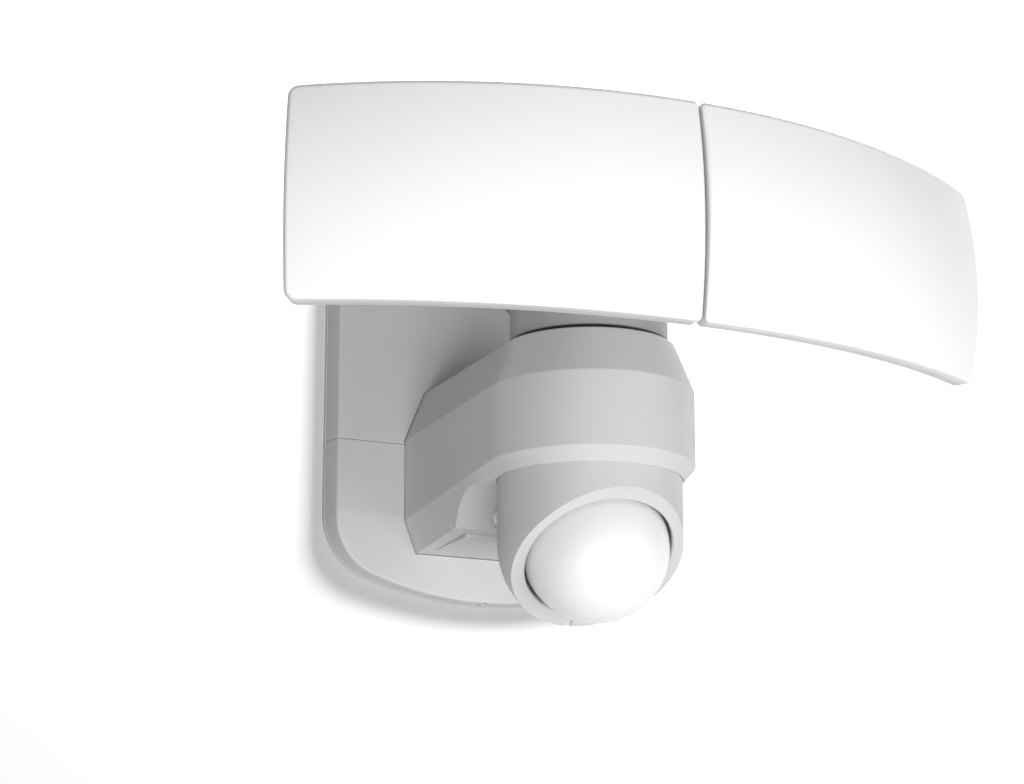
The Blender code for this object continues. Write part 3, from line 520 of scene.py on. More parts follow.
def round_edges(bm, edges, width, segments, kind="OFFSET", clamp=True):
    bmesh.ops.bevel(bm, geom=edges, offset=width, offset_type=kind, segments=segments, profile=0.5,
                    affect="EDGES", clamp_overlap=clamp, material=-1)


def at_head(bm):
    return moved(bm, (0, HEAD_Y, 0))


def soften(bm, width, segments=3, sharpest=35):
    """Round every edge that is sharper than an angle in degrees."""
    edges = [edge for edge in bm.edges
             if len(edge.link_faces) == 2 and edge.calc_face_angle() > math.radians(sharpest)]
    round_edges(bm, edges, width, segments)
    face_outward(bm)
    return bm


def everything(bm):
    return list(bm.verts) + list(bm.edges) + list(bm.faces)


def slice_off(bm, point, normal, cap=True):
    """Take away what lies beyond a plane, on the side its normal points to, and close the cut."""
    cut = bmesh.ops.bisect_plane(bm, geom=everything(bm), plane_co=point, plane_no=normal,
                                 clear_outer=True)
    if cap:
        edges = [item for item in cut["geom_cut"] if isinstance(item, bmesh.types.BMEdge)]
        bmesh.ops.edgeloop_fill(bm, edges=edges)


def edge_loop(bm, points):
    """New vertices joined in a ring; returns its edges."""
    verts = [bm.verts.new(point) for point in points]
    return [bm.edges.new((verts[i - 1], verts[i])) for i in range(len(verts))]


def box_mm(name):
    """The two corners of a CAD node's box."""
    return [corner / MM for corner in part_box(name)]


def scratch_object(bm, name="cutter"):
    mesh = bpy.data.meshes.new(name)
    bm.to_mesh(mesh)
    bm.free()
    obj = bpy.data.objects.new(name, mesh)
    bpy.context.scene.collection.objects.link(obj)
    return obj


def carved(bm, *tools):
    """Apply (operation, shape) pairs in order with exact Booleans and return the new shape."""
    piece = scratch_object(bm, "carved")
    for operation, tool in tools:
        cutter = scratch_object(tool)
        cut = piece.modifiers.new("cut", "BOOLEAN")
        cut.operation = operation
        cut.solver = "EXACT"
        cut.object = cutter
        graph = bpy.context.evaluated_depsgraph_get()
        mesh = bpy.data.meshes.new_from_object(piece.evaluated_get(graph))
        piece.modifiers.clear()
        old = piece.data
        piece.data = mesh
        bpy.data.meshes.remove(old)
        bpy.data.objects.remove(cutter, do_unlink=True)
    result = bmesh.new()
    result.from_mesh(piece.data)
    bpy.data.objects.remove(piece, do_unlink=True)
    bmesh.ops.remove_doubles(result, verts=result.verts, dist=0.001)
    return result


def finish_piece(name, bm, body, slot, nodes=(), edge_round=0.0, smooth=32, finish=None):
    """Turn a shape in millimetres into a finished piece in metres that rides on its body."""
    bmesh.ops.scale(bm, vec=(MM, MM, MM), verts=bm.verts)
    mesh = bpy.data.meshes.new(name)
    bm.to_mesh(mesh)
    bm.free()
    mesh.materials.append(MATERIALS[finish or slot])
    mesh.shade_smooth()
    mesh.set_sharp_from_angle(angle=math.radians(smooth))
    piece = bpy.data.objects.new(name, mesh)
    bpy.context.scene.collection.objects.link(piece)
    if edge_round:
        bevel = piece.modifiers.new("edge_round", "BEVEL")
        bevel.width = edge_round * MM
        bevel.segments = 2
        bevel.limit_method = "ANGLE"
        bevel.angle_limit = math.radians(50)
    weighted = piece.modifiers.new("even_shading", "WEIGHTED_NORMAL")
    weighted.keep_sharp = True
    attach(piece, body)
    if nodes:
        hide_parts(*nodes)
    return piece


def screw_head(radius, height):
    """A raised screw head standing on z = 0, with a cross cut in its top."""
    reach = radius * 0.72
    head = turned_rounded([(0, 0), (radius, 0), (radius, height * 0.55), (reach, height), (0, height)],
                          [0, 0, 0.25, 0.35, 0], 3, 40)
    return carved(head, (CUT, block((-reach, -0.35, height * 0.45), (reach, 0.35, 5))),
                  (CUT, block((-0.35, -reach, height * 0.45), (0.35, reach, 5))))


# ---------------------------------------------------------------- wall base

def base_outline(inset, lift):
    """(x, z) outline: straight sides, big lower corners and a shallow bottom arc.

    inset moves it inwards and lift from 0 to 1 goes from the wall edge to the drafted front.
    """
    shrink = inset + COVER_DRAFT * lift
    half_width = BASE_HALF_WIDTH - shrink
    bottom = BASE_BOTTOM + inset + 2.1 * lift
    top = BASE_TOP - shrink
    corner = BASE_CORNER - inset - 2.6 * lift
    top_corner = TOP_CORNER - inset - 2.0 * lift
    corner_x = half_width - corner
    height = BASE_CORNER_Z - bottom
    radius = (corner_x ** 2 + height ** 2 - corner ** 2) / (2 * (height - corner))
    meet = math.degrees(math.atan2(height - radius, corner_x))
    points = bend_arc((half_width - top_corner, top - top_corner), top_corner, 90, 0, 12)
    points += bend_arc((corner_x, BASE_CORNER_Z), corner, 0, meet, 20)
    points += bend_arc((0, bottom + radius), radius, meet, -180 - meet, 24)[1:-1]
    points += bend_arc((-corner_x, BASE_CORNER_Z), corner, -180 - meet, -180, 20)
    points += bend_arc((top_corner - half_width, top - top_corner), top_corner, 180, 90, 12)
    return points


def cover_body(inset, rim_round):
    """The solid under the covers' outer surface, moved inwards by inset."""
    front_y = inset - COVER_FRONT
    bm = bmesh.new()
    loops = []
    for y, lift in ((0.0, 0.0), (front_y, 1.0)):
        loops.append(edge_loop(bm, [(x, y, z) for x, z in base_outline(inset, lift)]))
    bmesh.ops.bridge_loops(bm, edges=loops[0] + loops[1])
    for loop in loops:
        bmesh.ops.edgeloop_fill(bm, edges=loop)
    # The front bends back below the arm, over a few narrow facets that round the bend.
    slope = math.atan2(COVER_SLOPE_DROP, COVER_BEND_Z - BASE_BOTTOM)
    middle = Vector((0, front_y + BEND_RADIUS, COVER_BEND_Z + BEND_RADIUS * math.tan(slope / 2)))
    facets = 4 if rim_round else 1
    for facet in range(1, facets + 1):
        tilt = slope * facet / facets
        normal = Vector((0, -math.cos(tilt), -math.sin(tilt)))
        slice_off(bm, middle + normal * BEND_RADIUS, normal)
    face_outward(bm)
    if rim_round:
        rim = [edge for edge in bm.edges if len(edge.link_faces) == 2
               and sorted(face.normal.y < -0.9 for face in edge.link_faces) == [False, True]]
        round_edges(bm, rim, rim_round, 5, "WIDTH", clamp=False)
        face_outward(bm)
    return bm


def make_covers():
    for name, low, high in (("upper_cover", COVER_SEAM_Z + GAP / 2, 130.0),
                            ("lower_cover", -130.0, COVER_SEAM_Z - GAP / 2)):
        tools = [("INTERSECT", block((-120, -40, low), (120, ROOT_Y, high))),
                 (CUT, cover_body(COVER_WALL, 0.0)),
                 (CUT, arm_body(-GAP - 0.05, 6.0))]
        if name == "lower_cover":
            lock_z = box_mm("cover_lock_screw")[0].z
            tools.append((CUT, rod(2.4, (0, LOCK_Y, lock_z - 6), (0, LOCK_Y, -84.8), 32)))
            tools.append((CUT, block((-7, -7.8, -86.8), (7, 0, -77))))
        shell = carved(cover_body(0.0, 2.0), *tools)
        finish_piece(name + "_shell", shell, "housing", "housing", [name], edge_round=0.3, smooth=28)


def make_wall_plate():
    plate = prism(base_outline(0.4, 0.0), -PLATE_DEPTH, 0, "Y")
    tools = [(ADD, block((-6, -7.4, -83.8), (6, -PLATE_DEPTH + 1, -79.0)))]
    for x in (-FIXING_X, FIXING_X):
        tools.append((CUT, rod(3.0, (x, 5, 34), (x, -8, 34), 32)))
        tools.append((CUT, prism(rounded_box(x - 3, x + 3, -30, -14, 2.9, 6), -8, 5, "Y")))
        pocket = rounded_box(x - 14, x + 14, -44, 70, 6, 6)
        tools.append((CUT, prism(pocket, -POCKET_DEPTH, 5, "Y")))
    tools.append((CUT, rod(9.0, (0, 5, CABLE_Z), (0, -8, CABLE_Z), 64)))
    tools.append((CUT, rod(1.5, (0, LOCK_Y, -95), (0, LOCK_Y, -70), 24)))
    for z in (8.0, 28.0, -34.0):
        tools.append((CUT, prism(rounded_box(-40, 40, z - 8, z + 8, 4, 5), -POCKET_DEPTH, 5, "Y")))
    finish_piece("wall_plate_moulding", carved(plate, *tools), "housing", "plate", ["wall_plate"],
                 edge_round=0.35)


def make_base_fixings():
    low, high = box_mm("cover_lock_screw")
    length = high.z - low.z
    screw = turned_rounded([(0, length), (1.2, length), (1.2, 4.4), (2.1, 4.4), (2.1, 0.6), (1.5, 0),
                            (0, 0)], [0, 0.3, 0, 0.2, 0.2, 0, 0], 3, 40)
    screw = carved(screw, (CUT, block((-1.5, -0.3, -1), (1.5, 0.3, 0.9))))
    finish_piece("cover_lock_screw_slotted", moved(screw, (0, LOCK_Y, low.z)), "housing", "steel",
                 ["cover_lock_screw"])
    grommet = turned_rounded([(0, 3.4), (3.0, 3.4), (6.0, 5.4), (11.5, 5.4), (11.5, 2.8), (8.6, 2.8),
                              (8.6, 0.2), (5.0, 0.2), (3.0, 2.0), (0, 2.0)],
                             [0, 0.6, 0.8, 0.6, 0.4, 0.2, 0.4, 0.6, 0.5, 0], 3, 72)
    finish_piece("cable_grommet_ribbed", moved(grommet, (0, 0, CABLE_Z), ("X", QUARTER)), "housing",
                 "rubber", ["cable_grommet"])


# ---------------------------------------------------------------- arm and head

def blend_section(first, second, share):
    return [Vector(a).lerp(Vector(b), share) for a, b in zip(first, second)]


def arm_share(y):
    """0 at the arm's root and 1 at the head's axis."""
    return max(0.0, min(1.0, (y - ARM_STRAIGHT_Y) / (HEAD_Y - ARM_STRAIGHT_Y)))


def arm_body(inset, root_y):
    """The arm as a plain loft, moved inwards by inset, for cutting the covers round it."""
    bm = bmesh.new()
    loops = []
    for y in (root_y, ARM_STRAIGHT_Y, HEAD_Y):
        top, wide, low, base = blend_section(ARM_ROOT_SECTION, ARM_HEAD_SECTION, arm_share(y))
        half = [(top.x - inset * 0.65, top.y - inset), (wide.x - inset, wide.y - inset * 0.35),
                (low.x - inset, low.y + inset * 0.25), (base.x - inset * 0.75, base.y + inset)]
        ring = [(x, y, z) for x, z in half] + [(-x, y, z) for x, z in reversed(half)]
        loops.append(edge_loop(bm, ring))
    for first, second in zip(loops, loops[1:]):
        bmesh.ops.bridge_loops(bm, edges=first + second)
    bmesh.ops.edgeloop_fill(bm, edges=loops[0])
    bmesh.ops.edgeloop_fill(bm, edges=loops[-1])
    bmesh.ops.triangulate(bm, faces=bm.faces)
    face_outward(bm)
    return bm


def underside_z(y):
    """Height of the arm's underside: flat by the head, a concave step, then the chin."""
    if y <= STEP_FRONT_Y:
        return HEAD_SECTION[3][1]
    share = min(1.0, (y - STEP_FRONT_Y) / (STEP_BACK_Y - STEP_FRONT_Y))
    stepped = HEAD_SECTION[3][1] - STEP_HEIGHT * share ** STEP_POWER
    if y > STEP_BACK_Y:
        chin = min(1.0, (y - STEP_BACK_Y) / (ARM_STRAIGHT_Y - STEP_BACK_Y))
        stepped += (ARM_ROOT_SECTION[3][1] - stepped) * chin
    return stepped


def shell_profile(y, edge_round):
    """Half profile of the arm at y, from the middle of its top round to the middle underneath."""
    top, wide, low, base = blend_section(ARM_ROOT_SECTION, ARM_HEAD_SECTION, arm_share(y))
    bottom = underside_z(y)
    along = (bottom - low.y) / (base.y - low.y)
    edge_x = low.x + (base.x - low.x) * along
    settle = max(0.0, min(1.0, (y - HEAD_Y) / 30.0))
    settle = settle * settle * (3 - 2 * settle)
    foot_x = HEAD_SECTION[3][0] * (1 - settle) + edge_x * settle
    outline = [(0, top.y), tuple(top), tuple(wide), tuple(low), (foot_x, bottom), (0, bottom)]
    radii = [0, edge_round, edge_round * 2.5, edge_round, min(edge_round * 0.5, 0.6), 0]
    return round_corners(outline, radii, 5, closed=False)


def arm_outer_body():
    """Arm and head as one sheet: the half profile swept up one side, round the head and back."""
    edge_round = sizes().edge_round / MM
    arm_stations = [ROOT_Y, ARM_STRAIGHT_Y + 4, -17.0, -26.0, -36.0, -46.0, -56.0, -62.0, -66.0]
    arm_stations += [STEP_BACK_Y + (STEP_FRONT_Y - STEP_BACK_Y) * i / 22 for i in range(23)]
    arm_stations += [-106.0, -112.0, -118.0, -124.0]
    side_profiles = [(y, shell_profile(y, edge_round)) for y in arm_stations]
    head_profile = shell_profile(HEAD_Y, edge_round)
    rows = [[(radius, y, height) for radius, height in profile] for y, profile in side_profiles]
    for i in range(HEAD_STEPS + 1):
        angle = math.pi * i / HEAD_STEPS
        rows.append([(radius * math.cos(angle), HEAD_Y - radius * math.sin(angle), height)
                     for radius, height in head_profile])
    rows += [[(-radius, y, height) for radius, height in profile] for y, profile in reversed(side_profiles)]
    last_row, last_column = len(rows) - 1, len(head_profile) - 1
    bm = bmesh.new()
    bmesh.ops.create_grid(bm, x_segments=last_row, y_segments=last_column, size=1.0)
    for vert in bm.verts:
        row = round((vert.co.x + 1) / 2 * last_row)
        column = round((vert.co.y + 1) / 2 * last_column)
        vert.co = rows[row][column]
    bmesh.ops.remove_doubles(bm, verts=bm.verts, dist=0.0005)
    rim = [edge for edge in bm.edges if len(edge.link_faces) == 1]
    bmesh.ops.holes_fill(bm, edges=rim, sides=0)
    face_outward(bm)
    return bm


def make_arm():
    arm_cavity = arm_body(3.2, 5.0)
    slice_off(arm_cavity, (0, -81, 0), (0, -1, 0), cap=False)
    slice_off(arm_cavity, (0, 0, -44.5), (0, 0, -1), cap=False)
    open_edges = [edge for edge in arm_cavity.edges if len(edge.link_faces) == 1]
    bmesh.ops.holes_fill(arm_cavity, edges=open_edges, sides=0)
    face_outward(arm_cavity)
    tools = [
        (CUT, at_head(turned(profile))) for profile in (
            [(0, -40.4), (46.8, -40.4), (46.8, -9.0), (38.5, 11.3), (0, 11.3)],
            [(0, RECESS_TOP), (RECESS_RADIUS, RECESS_TOP), (RECESS_RADIUS, -90), (0, -90)],
            [(0, -36), (20.5, -36), (20.5, -47), (0, -47)],
            [(0, 18), (18.5, 18), (18.5, 8), (0, 8)])]
    tools += [
        (CUT, arm_cavity),
        (CUT, block((-37, -62.5, -61.0), (37, 5, -44.0))),
        (CUT, block((-33, -60, -75), (33, -19, -60.5))),
        (CUT, block((-28, -90, -36), (28, -76, 6))),
        (CUT, block((-9, -9, 8), (9, 5, 22))),
    ]
    for side in (-1, 1):
        x = side * DIAL_X
        tools.append((CUT, rod(7.2, (x, -110, DIAL_Z), (x, -61.5, DIAL_Z), 64)))
        slot = rounded_box(side * 37.5 - 6, side * 37.5 + 6, -65.6, -63.4, 0.8, 4)
        tools.append((CUT, prism(slot, -72, -62.5, "Z")))
    shell = carved(arm_outer_body(), *tools)
    finish_piece("arm_and_head_shell", shell, "housing", "housing", ["arm_shell"], smooth=26)

    low, high = box_mm("arm_bottom_cover")
    lid = prism(rounded_box(low.x, high.x, low.y, high.y, 1.6, 5), low.z, low.z + 2.4, "Z")
    soften(lid, 0.5, 3)
    slots = [(CUT, block((x - 5, low.y + 1.6, low.z - 1), (x + 5, low.y + 2.8, low.z + 1.2)))
             for x in (-LID_CLIP_X, LID_CLIP_X)]
    hooks = [(ADD, block((x - 4, -58.4, low.z + 1), (x + 4, -56.9, high.z)))
             for x in (-LID_CLIP_X, LID_CLIP_X)]
    finish_piece("arm_bottom_lid", carved(lid, *(slots + hooks)), "housing", "housing",
                 ["arm_bottom_cover"])


def make_dials():
    grips = sizes().grip_count
    for name in ("time_dial", "twilight_dial"):
        centre = JOINT_AT[name + "_turn"]
        low, high = box_mm(name)
        radius = (high.x - low.x) / 2
        front = centre.y - low.y
        back = -65.0 - centre.y
        stem = high.y - centre.y
        knob = turned_rounded([(0, front), (radius - 2.2, front), (radius - 1.4, front - 1.2),
                               (radius, front - 1.8), (radius, -back), (2.0, -back), (2.0, -stem),
                               (0, -stem)], [0, 0.4, 0.3, 0.5, 0.4, 0, 0, 0], 3, 80)
        tools = [(CUT, block((-0.8, -4.2, front - 2.2), (0.8, 4.2, front + 2)))]
        for i in range(grips):
            angle = 2 * math.pi * i / grips
            x = (radius + 0.35) * math.cos(angle)
            y = (radius + 0.35) * math.sin(angle)
            tools.append((CUT, rod(0.62, (x, y, -back - 3), (x, y, front + 2), 10)))
        knob = moved(carved(knob, *tools), centre, ("X", QUARTER))
        finish_piece(name + "_knob", knob, name, "white_plastic", [name])


# ---------------------------------------------------------------- column and fork

def make_column():
    edge_round = sizes().edge_round / MM
    ring = turned_rounded(
        [(0, 46.5), (38.6, 46.5), (41.0, 44.0), (41.0, 36.5), (37.7, 33.0), (37.7, 16.8), (18.0, 16.8),
         (18.0, -6.0), (15.0, -6.0), (15.0, 20.0), (34.5, 20.0), (34.5, 34.0), (37.8, 37.0),
         (37.8, 43.5), (0, 43.5)],
        [0, edge_round, edge_round, 0.8, 0.8, edge_round * 0.6] + [0.5] * 8 + [0], 4)
    at_head(ring)
    cheek = bend_arc((TILT.y, TILT.z), 14.0, 45, 215, 36)
    cheek = [(-118, 45.2), (-118, 50)] + cheek + [(-166, 45.2)]
    tools = []
    for side in (-1, 1):
        near, far = sorted((side * 27.0, side * 33.0))
        tools.append((ADD, soften(prism(cheek, near, far, "X"), 0.9, 3, 50)))
    tools.append((CUT, tilt_bore()))
    # The column takes the darker copy of the housing grey, which is painted shade.
    finish_piece("swivel_column", carved(ring, *tools), "column", "housing", ["column"], smooth=30,
                 finish="column")

    gasket_outline = [(36.4, 16.5), (36.4, 14.8), (22.0, 14.8), (22.0, 16.5)]
    gasket = turned(round_corners(gasket_outline, [0.5] * 4, 3), ring=True)
    finish_piece("swivel_gasket_ring", at_head(gasket), "column", "rubber", ["swivel_gasket"])
    nut_outline = [(27.0, 11.0), (27.0, 3.0), (18.4, 3.0), (18.4, 11.0)]
    nut = at_head(turned(round_corners(nut_outline, [0.6] * 4, 3), ring=True))
    notches = []
    for i in range(8):
        angle = math.pi * i / 4
        x, y = 27.0 * math.cos(angle), HEAD_Y + 27.0 * math.sin(angle)
        notches.append((CUT, rod(2.0, (x, y, 0), (x, y, 14), 20)))
    finish_piece("swivel_nut_notched", carved(nut, *notches), "column", "bearing", ["swivel_nut"])

    pin = turned_rounded([(0, 36.5), (3.5, 36.5), (6.0, 35.3), (6.0, 33.3), (3.0, 33.3), (3.0, -38.5),
                          (0, -38.5)], [0, 0.8, 0.5, 0.2, 0, 0.5, 0], 3, 56)
    pin = carved(pin, (CUT, rod(2.3, (0, 0, 34.6), (0, 0, 40), 6)))
    finish_piece("tilt_bolt", moved(pin, TILT, ("Y", QUARTER)), "column", "steel", ["tilt_pin"])
    nut = rod(6.4, (-33.3, 0, 0), (-37.6, 0, 0), 6)
    nut = carved(soften(nut, 0.4, 2), (CUT, rod(3.3, (-30, 0, 0), (-45, 0, 0))))
    finish_piece("tilt_lock_nut", moved(nut, TILT), "column", "steel", ["tilt_nut"])


def knuckle_outline(side, front, back, radius=5.0):
    """(x, y) plan of a hinge knuckle: a round end about the hinge axis on a flat root."""
    x = side * HINGE.x
    start, end = (180, 360) if front > back else (0, 180)
    points = bend_arc((x, HINGE.y), radius, start, end, 20)
    return points + [(points[-1][0], front), (points[0][0], front)]


def hinge_bore(side, low, high):
    x = side * HINGE.x
    return rod(2.3, (x, HINGE.y, low), (x, HINGE.y, high), 32)


def tilt_bore():
    return rod(3.4, (-50, TILT.y, TILT.z), (50, TILT.y, TILT.z))


def make_yoke():
    barrel = turned_rounded([(0, 26.0), (12.0, 26.0), (12.0, -26.0), (0, -26.0)], [0, 0.9, 0.9, 0], 4, 80)
    moved(barrel, TILT, ("Y", QUARTER))
    neck = [(TILT.y, TILT.z + 10), (-203, TILT.z + 10), (-216, TILT.z + 16), (-216, TILT.z - 34),
            (-203, TILT.z - 16), (-178, TILT.z - 10), (TILT.y, TILT.z - 10)]
    neck = round_corners(neck, [0, 6, 0, 0, 5, 8, 0], 6)
    spine = rounded_box(-28, 28, 22, 80, 4.0, 6)
    tools = [(ADD, soften(prism(neck, -18, 18, "X"), 1.0, 3, 40)),
             (ADD, soften(prism(spine, -219.4, -212, "Y"), 1.2, 3, 40))]
    tools += [(ADD, prism(knuckle_outline(side, -215.0, -235.0), 40.3, 61.7, "Z")) for side in (-1, 1)]
    tools += [(CUT, hinge_bore(side, 0, 120)) for side in (-1, 1)]
    tools.append((CUT, tilt_bore()))
    for side in (-1, 1):
        pocket = rounded_box(side * 18.5, side * 25.5, 27, 75, 1.5, 4)
        tools.append((CUT, prism(pocket, -213.2, -208, "Y")))
    finish_piece("panel_yoke", carved(barrel, *tools), "yoke", "housing", ["yoke"], smooth=30)

    for word, side in (("left", -1), ("right", 1)):
        pin = turned_rounded([(0, 82.0), (3.2, 82.0), (3.2, 80.3), (2.0, 80.3), (2.0, 19.5), (0, 19.5)],
                             [0, 0.6, 0.3, 0, 0.5, 0], 3, 40)
        finish_piece(f"hinge_pin_{word}_turned", moved(pin, (side * HINGE.x, HINGE.y, 0)), "yoke",
                     "steel", ["hinge_pin_" + word])
        washer = turned(round_corners([(8.0, 0.2), (8.0, -0.2), (3.5, -0.2), (3.5, 0.2)],
                                      [0.12] * 4, 2), 56, ring=True)
        moved(washer, (side * 26.5, TILT.y, TILT.z), ("Y", QUARTER))
        finish_piece(f"tilt_washer_{word}_turned", washer, "yoke", "bearing", ["tilt_washer_" + word])


# ---------------------------------------------------------------- light panels

def bend_to_panel(bm, side, crown=True):
    """Bend a flat shape to a panel: x along the arc, z up from mid-height, y back from the front."""
    reach = PANEL_RADIUS * PANEL_HALF_ANGLE
    for vert in bm.verts:
        along, depth, up = vert.co
        angle = along / PANEL_RADIUS
        bulge = PANEL_CROWN * (up / PANEL_HALF_HEIGHT) ** 2 if crown else 0.0
        radius = PANEL_RADIUS - depth - bulge * (1 - depth / PANEL_DEPTH)
        taper = 1 - PANEL_TAPER / PANEL_HALF_HEIGHT * (along / reach) ** 2
        vert.co = (side * radius * math.sin(angle), PANEL_ARC_Y - radius * math.cos(angle),
                   PANEL_MID_Z + up * taper)
    face_outward(bm)
    return bm


def panel_layer(side, inset, front, back, rows=PANEL_ROWS, crown=True, rounding=None):
    """A bent slab with the panel's outline moved inwards by inset, between two depths.

    rounding gives the depth of a face whose edge is rounded, the width of the round and its segments.
    """
    low = PANEL_HALF_GAP + inset
    high = PANEL_RADIUS * PANEL_HALF_ANGLE - inset
    half = PANEL_HALF_HEIGHT - inset
    inner, outer = max(PANEL_INNER_CORNER - inset, 0.8), max(PANEL_OUTER_CORNER - inset, 0.8)
    outline = round_corners([(low, -half), (high, -half), (high, half), (low, half)],
                            [inner, outer, outer, inner], 8)
    bm = prism(outline, front, back, "Y")
    if rounding:
        depth, width, segments = rounding
        edges = [edge for edge in bm.edges if all(abs(vert.co.y - depth) < 0.01 for vert in edge.verts)]
        round_edges(bm, edges, width, segments)
    # Columns and rows let the slab bend smoothly.
    planes = [((low + (high - low) * i / PANEL_COLUMNS, 0, 0), (1, 0, 0)) for i in range(1, PANEL_COLUMNS)]
    planes += [((0, 0, half * (2 * i / rows - 1)), (0, 0, 1)) for i in range(1, rows)]
    for point, normal in planes:
        bmesh.ops.bisect_plane(bm, geom=everything(bm), plane_co=point, plane_no=normal)
    return bend_to_panel(bm, side, crown)


def make_panel(word, side):
    body = word + "_panel"
    diffuser = panel_layer(side, 0.0, 0.0, PANEL_SPLIT, rounding=(0.0, sizes().rim_round / MM, 6))
    hollow = panel_layer(side, PANEL_WALL, PANEL_WALL, PANEL_SPLIT + 3)
    finish_piece(f"{word}_diffuser_moulding", carved(diffuser, (CUT, hollow)), body, "diffuser",
                 [word + "_diffuser"], smooth=34)

    housing = panel_layer(side, 0.0, PANEL_SPLIT + GAP, PANEL_DEPTH, rounding=(PANEL_DEPTH, 2.0, 5))
    tools = [(CUT, panel_layer(side, PANEL_WALL, -5.0, PANEL_DEPTH - 1.8, rows=1, crown=False))]
    for rib in range(GROOVE_COUNT):
        along = GROOVE_START + rib * GROOVE_PITCH
        groove = rounded_box(along - 1.3, along + 1.3, -34, 34, 1.2, 4)
        groove = prism(groove, PANEL_DEPTH - 0.8, PANEL_DEPTH + 2, "Y")
        tools.append((CUT, bend_to_panel(groove, side)))
    for lug_low, lug_high in ((23.0, 40.0), (62.0, 79.0)):
        lug = prism(knuckle_outline(side, -235.5, -215.0), lug_low, lug_high, "Z")
        tools.append((ADD, lug))
    tools.append((CUT, hinge_bore(side, 10, 90)))
    screw_places = [(along, up) for along in (40.0, 178.0) for up in (-40.0, 40.0)]
    for along, up in screw_places:
        well = rod(3.6, (along, PANEL_DEPTH - 1.2, up), (along, PANEL_DEPTH + 3, up), 32)
        tools.append((CUT, bend_to_panel(well, side)))
    finish_piece(f"{word}_back_case", carved(housing, *tools), body, "housing",
                 [word + "_back_housing"], smooth=34)
    for number, (along, up) in enumerate(screw_places, 1):
        head = moved(screw_head(2.9, 1.0), (along, PANEL_DEPTH - 1.15, up), ("X", -QUARTER))
        bend_to_panel(head, side)
        finish_piece(f"{word}_case_screw_{number}", head, body, "steel")


# ---------------------------------------------------------------- sensor

def lens_turn():
    return Matrix.Rotation(LENS_ANGLE, 4, "X")


def ball_bore():
    reach = Vector((39.5, 0, 0))
    return rod(2.3, BALL - reach, BALL + reach, 32)


def make_turret():
    look = (lens_turn() @ Vector((0, 0, -1))).normalized()
    profile = [(0, -29.0), (20.0, -29.0), (20.0, TURRET_TOP), (TURRET_RADIUS - 0.8, TURRET_TOP),
               (TURRET_RADIUS, TURRET_TOP - 0.8)]
    profile += bend_arc((0, TURRET_ROUND_Z), TURRET_RADIUS, 0, -90, 36)
    profile[-1] = (0, TURRET_ROUND_Z - TURRET_RADIUS)
    body = at_head(turned(profile))
    rim_centre = BALL + look * RIM_OFFSET
    slice_off(body, rim_centre, look)
    face_outward(body)
    rim = [edge for edge in body.edges if len(edge.link_faces) == 2
           and any(face.normal.dot(look) > 0.999 and len(face.verts) > 30 for face in edge.link_faces)]
    round_edges(body, rim, 2.6, 6)
    face_outward(body)

    ball = bmesh.new()
    bmesh.ops.create_uvsphere(ball, u_segments=96, v_segments=48, radius=BALL_RADIUS + BALL_ROOM)
    bmesh.ops.translate(ball, vec=BALL, verts=ball.verts)
    slice_off(ball, rim_centre - look * 3.0, look)
    slice_off(ball, (0, 0, TURRET_TOP - 2.7), (0, 0, 1))
    face_outward(ball)
    opening = turned([(0, 3.5), (OPENING_RADIUS, 3.5), (OPENING_RADIUS, 0.6),
                      (OPENING_RADIUS + 0.5, 0.1), (OPENING_RADIUS + 0.5, -20), (0, -20)])
    bmesh.ops.transform(opening, matrix=Matrix.Translation(rim_centre) @ lens_turn(),
                        verts=opening.verts)
    tools = [(CUT, ball), (CUT, opening),
             (CUT, rod(7.0, (0, HEAD_Y, -60), (0, HEAD_Y, -20))), (CUT, ball_bore()),
             (CUT, rod(1.6, (0, -101.0, -121.5), (0, -108.0, -112.5), 24))]
    finish_piece("turret_shell", carved(body, *tools), "turret", "housing", ["sensor_turret"], smooth=24)


def make_lens_dome():
    rim = math.degrees(math.asin(BALL_BACK / BALL_RADIUS))
    inner = BALL_RADIUS - DOME_WALL
    inner_rim = math.degrees(math.asin(BALL_BACK / inner))
    outside = bend_arc((0, 0), BALL_RADIUS, rim, -90, 40)
    inside = bend_arc((0, 0), inner, -90, inner_rim, 30)
    inside[0] = (0, -inner)
    outside[-1] = (0, -BALL_RADIUS)
    dome = turned(inside + outside)
    bmesh.ops.transform(dome, matrix=Matrix.Translation(BALL) @ lens_turn(), verts=dome.verts)
    dome = carved(dome, (CUT, ball_bore()))
    finish_piece("lens_dome_moulding", dome, "sensor_ball", "lens", ["lens_dome"])


INNER_FINISHES = {
    "rubber": ("base_seal", "left_panel_seal", "right_panel_seal"),
    "white_plastic": ("terminal_block",),
    "circuit": ("setting_board", "driver_board", "sensor_board"),
    "transformer": ("transformer",),
    "dark_plastic": ("capacitor", "ball_back_shell"),
    "relay": ("relay",),
    "wire_brown": ("wire_live",),
    "wire_blue": ("wire_neutral",),
    "wire_green": ("wire_earth",),
    "bearing": ("turret_bearing_ring", "turret_retainer"),
    "steel": ("ball_pivot_left", "ball_pivot_right", "pyro_detector"),
    "aluminium": ("left_heat_spreader", "right_heat_spreader"),
    "led_board": ("left_led_board", "right_led_board"),
}


def finish_inner_nodes():
    """Give every CAD node that still shows its procedural finish."""
    finish_of = {name: finish for finish, names in INNER_FINISHES.items() for name in names}
    for name, node in frame["nodes"].items():
        if node.hide_render:
            continue
        for holder in node.material_slots:
            holder.material = MATERIALS[finish_of[name]]


# ---------------------------------------------------------------- stage

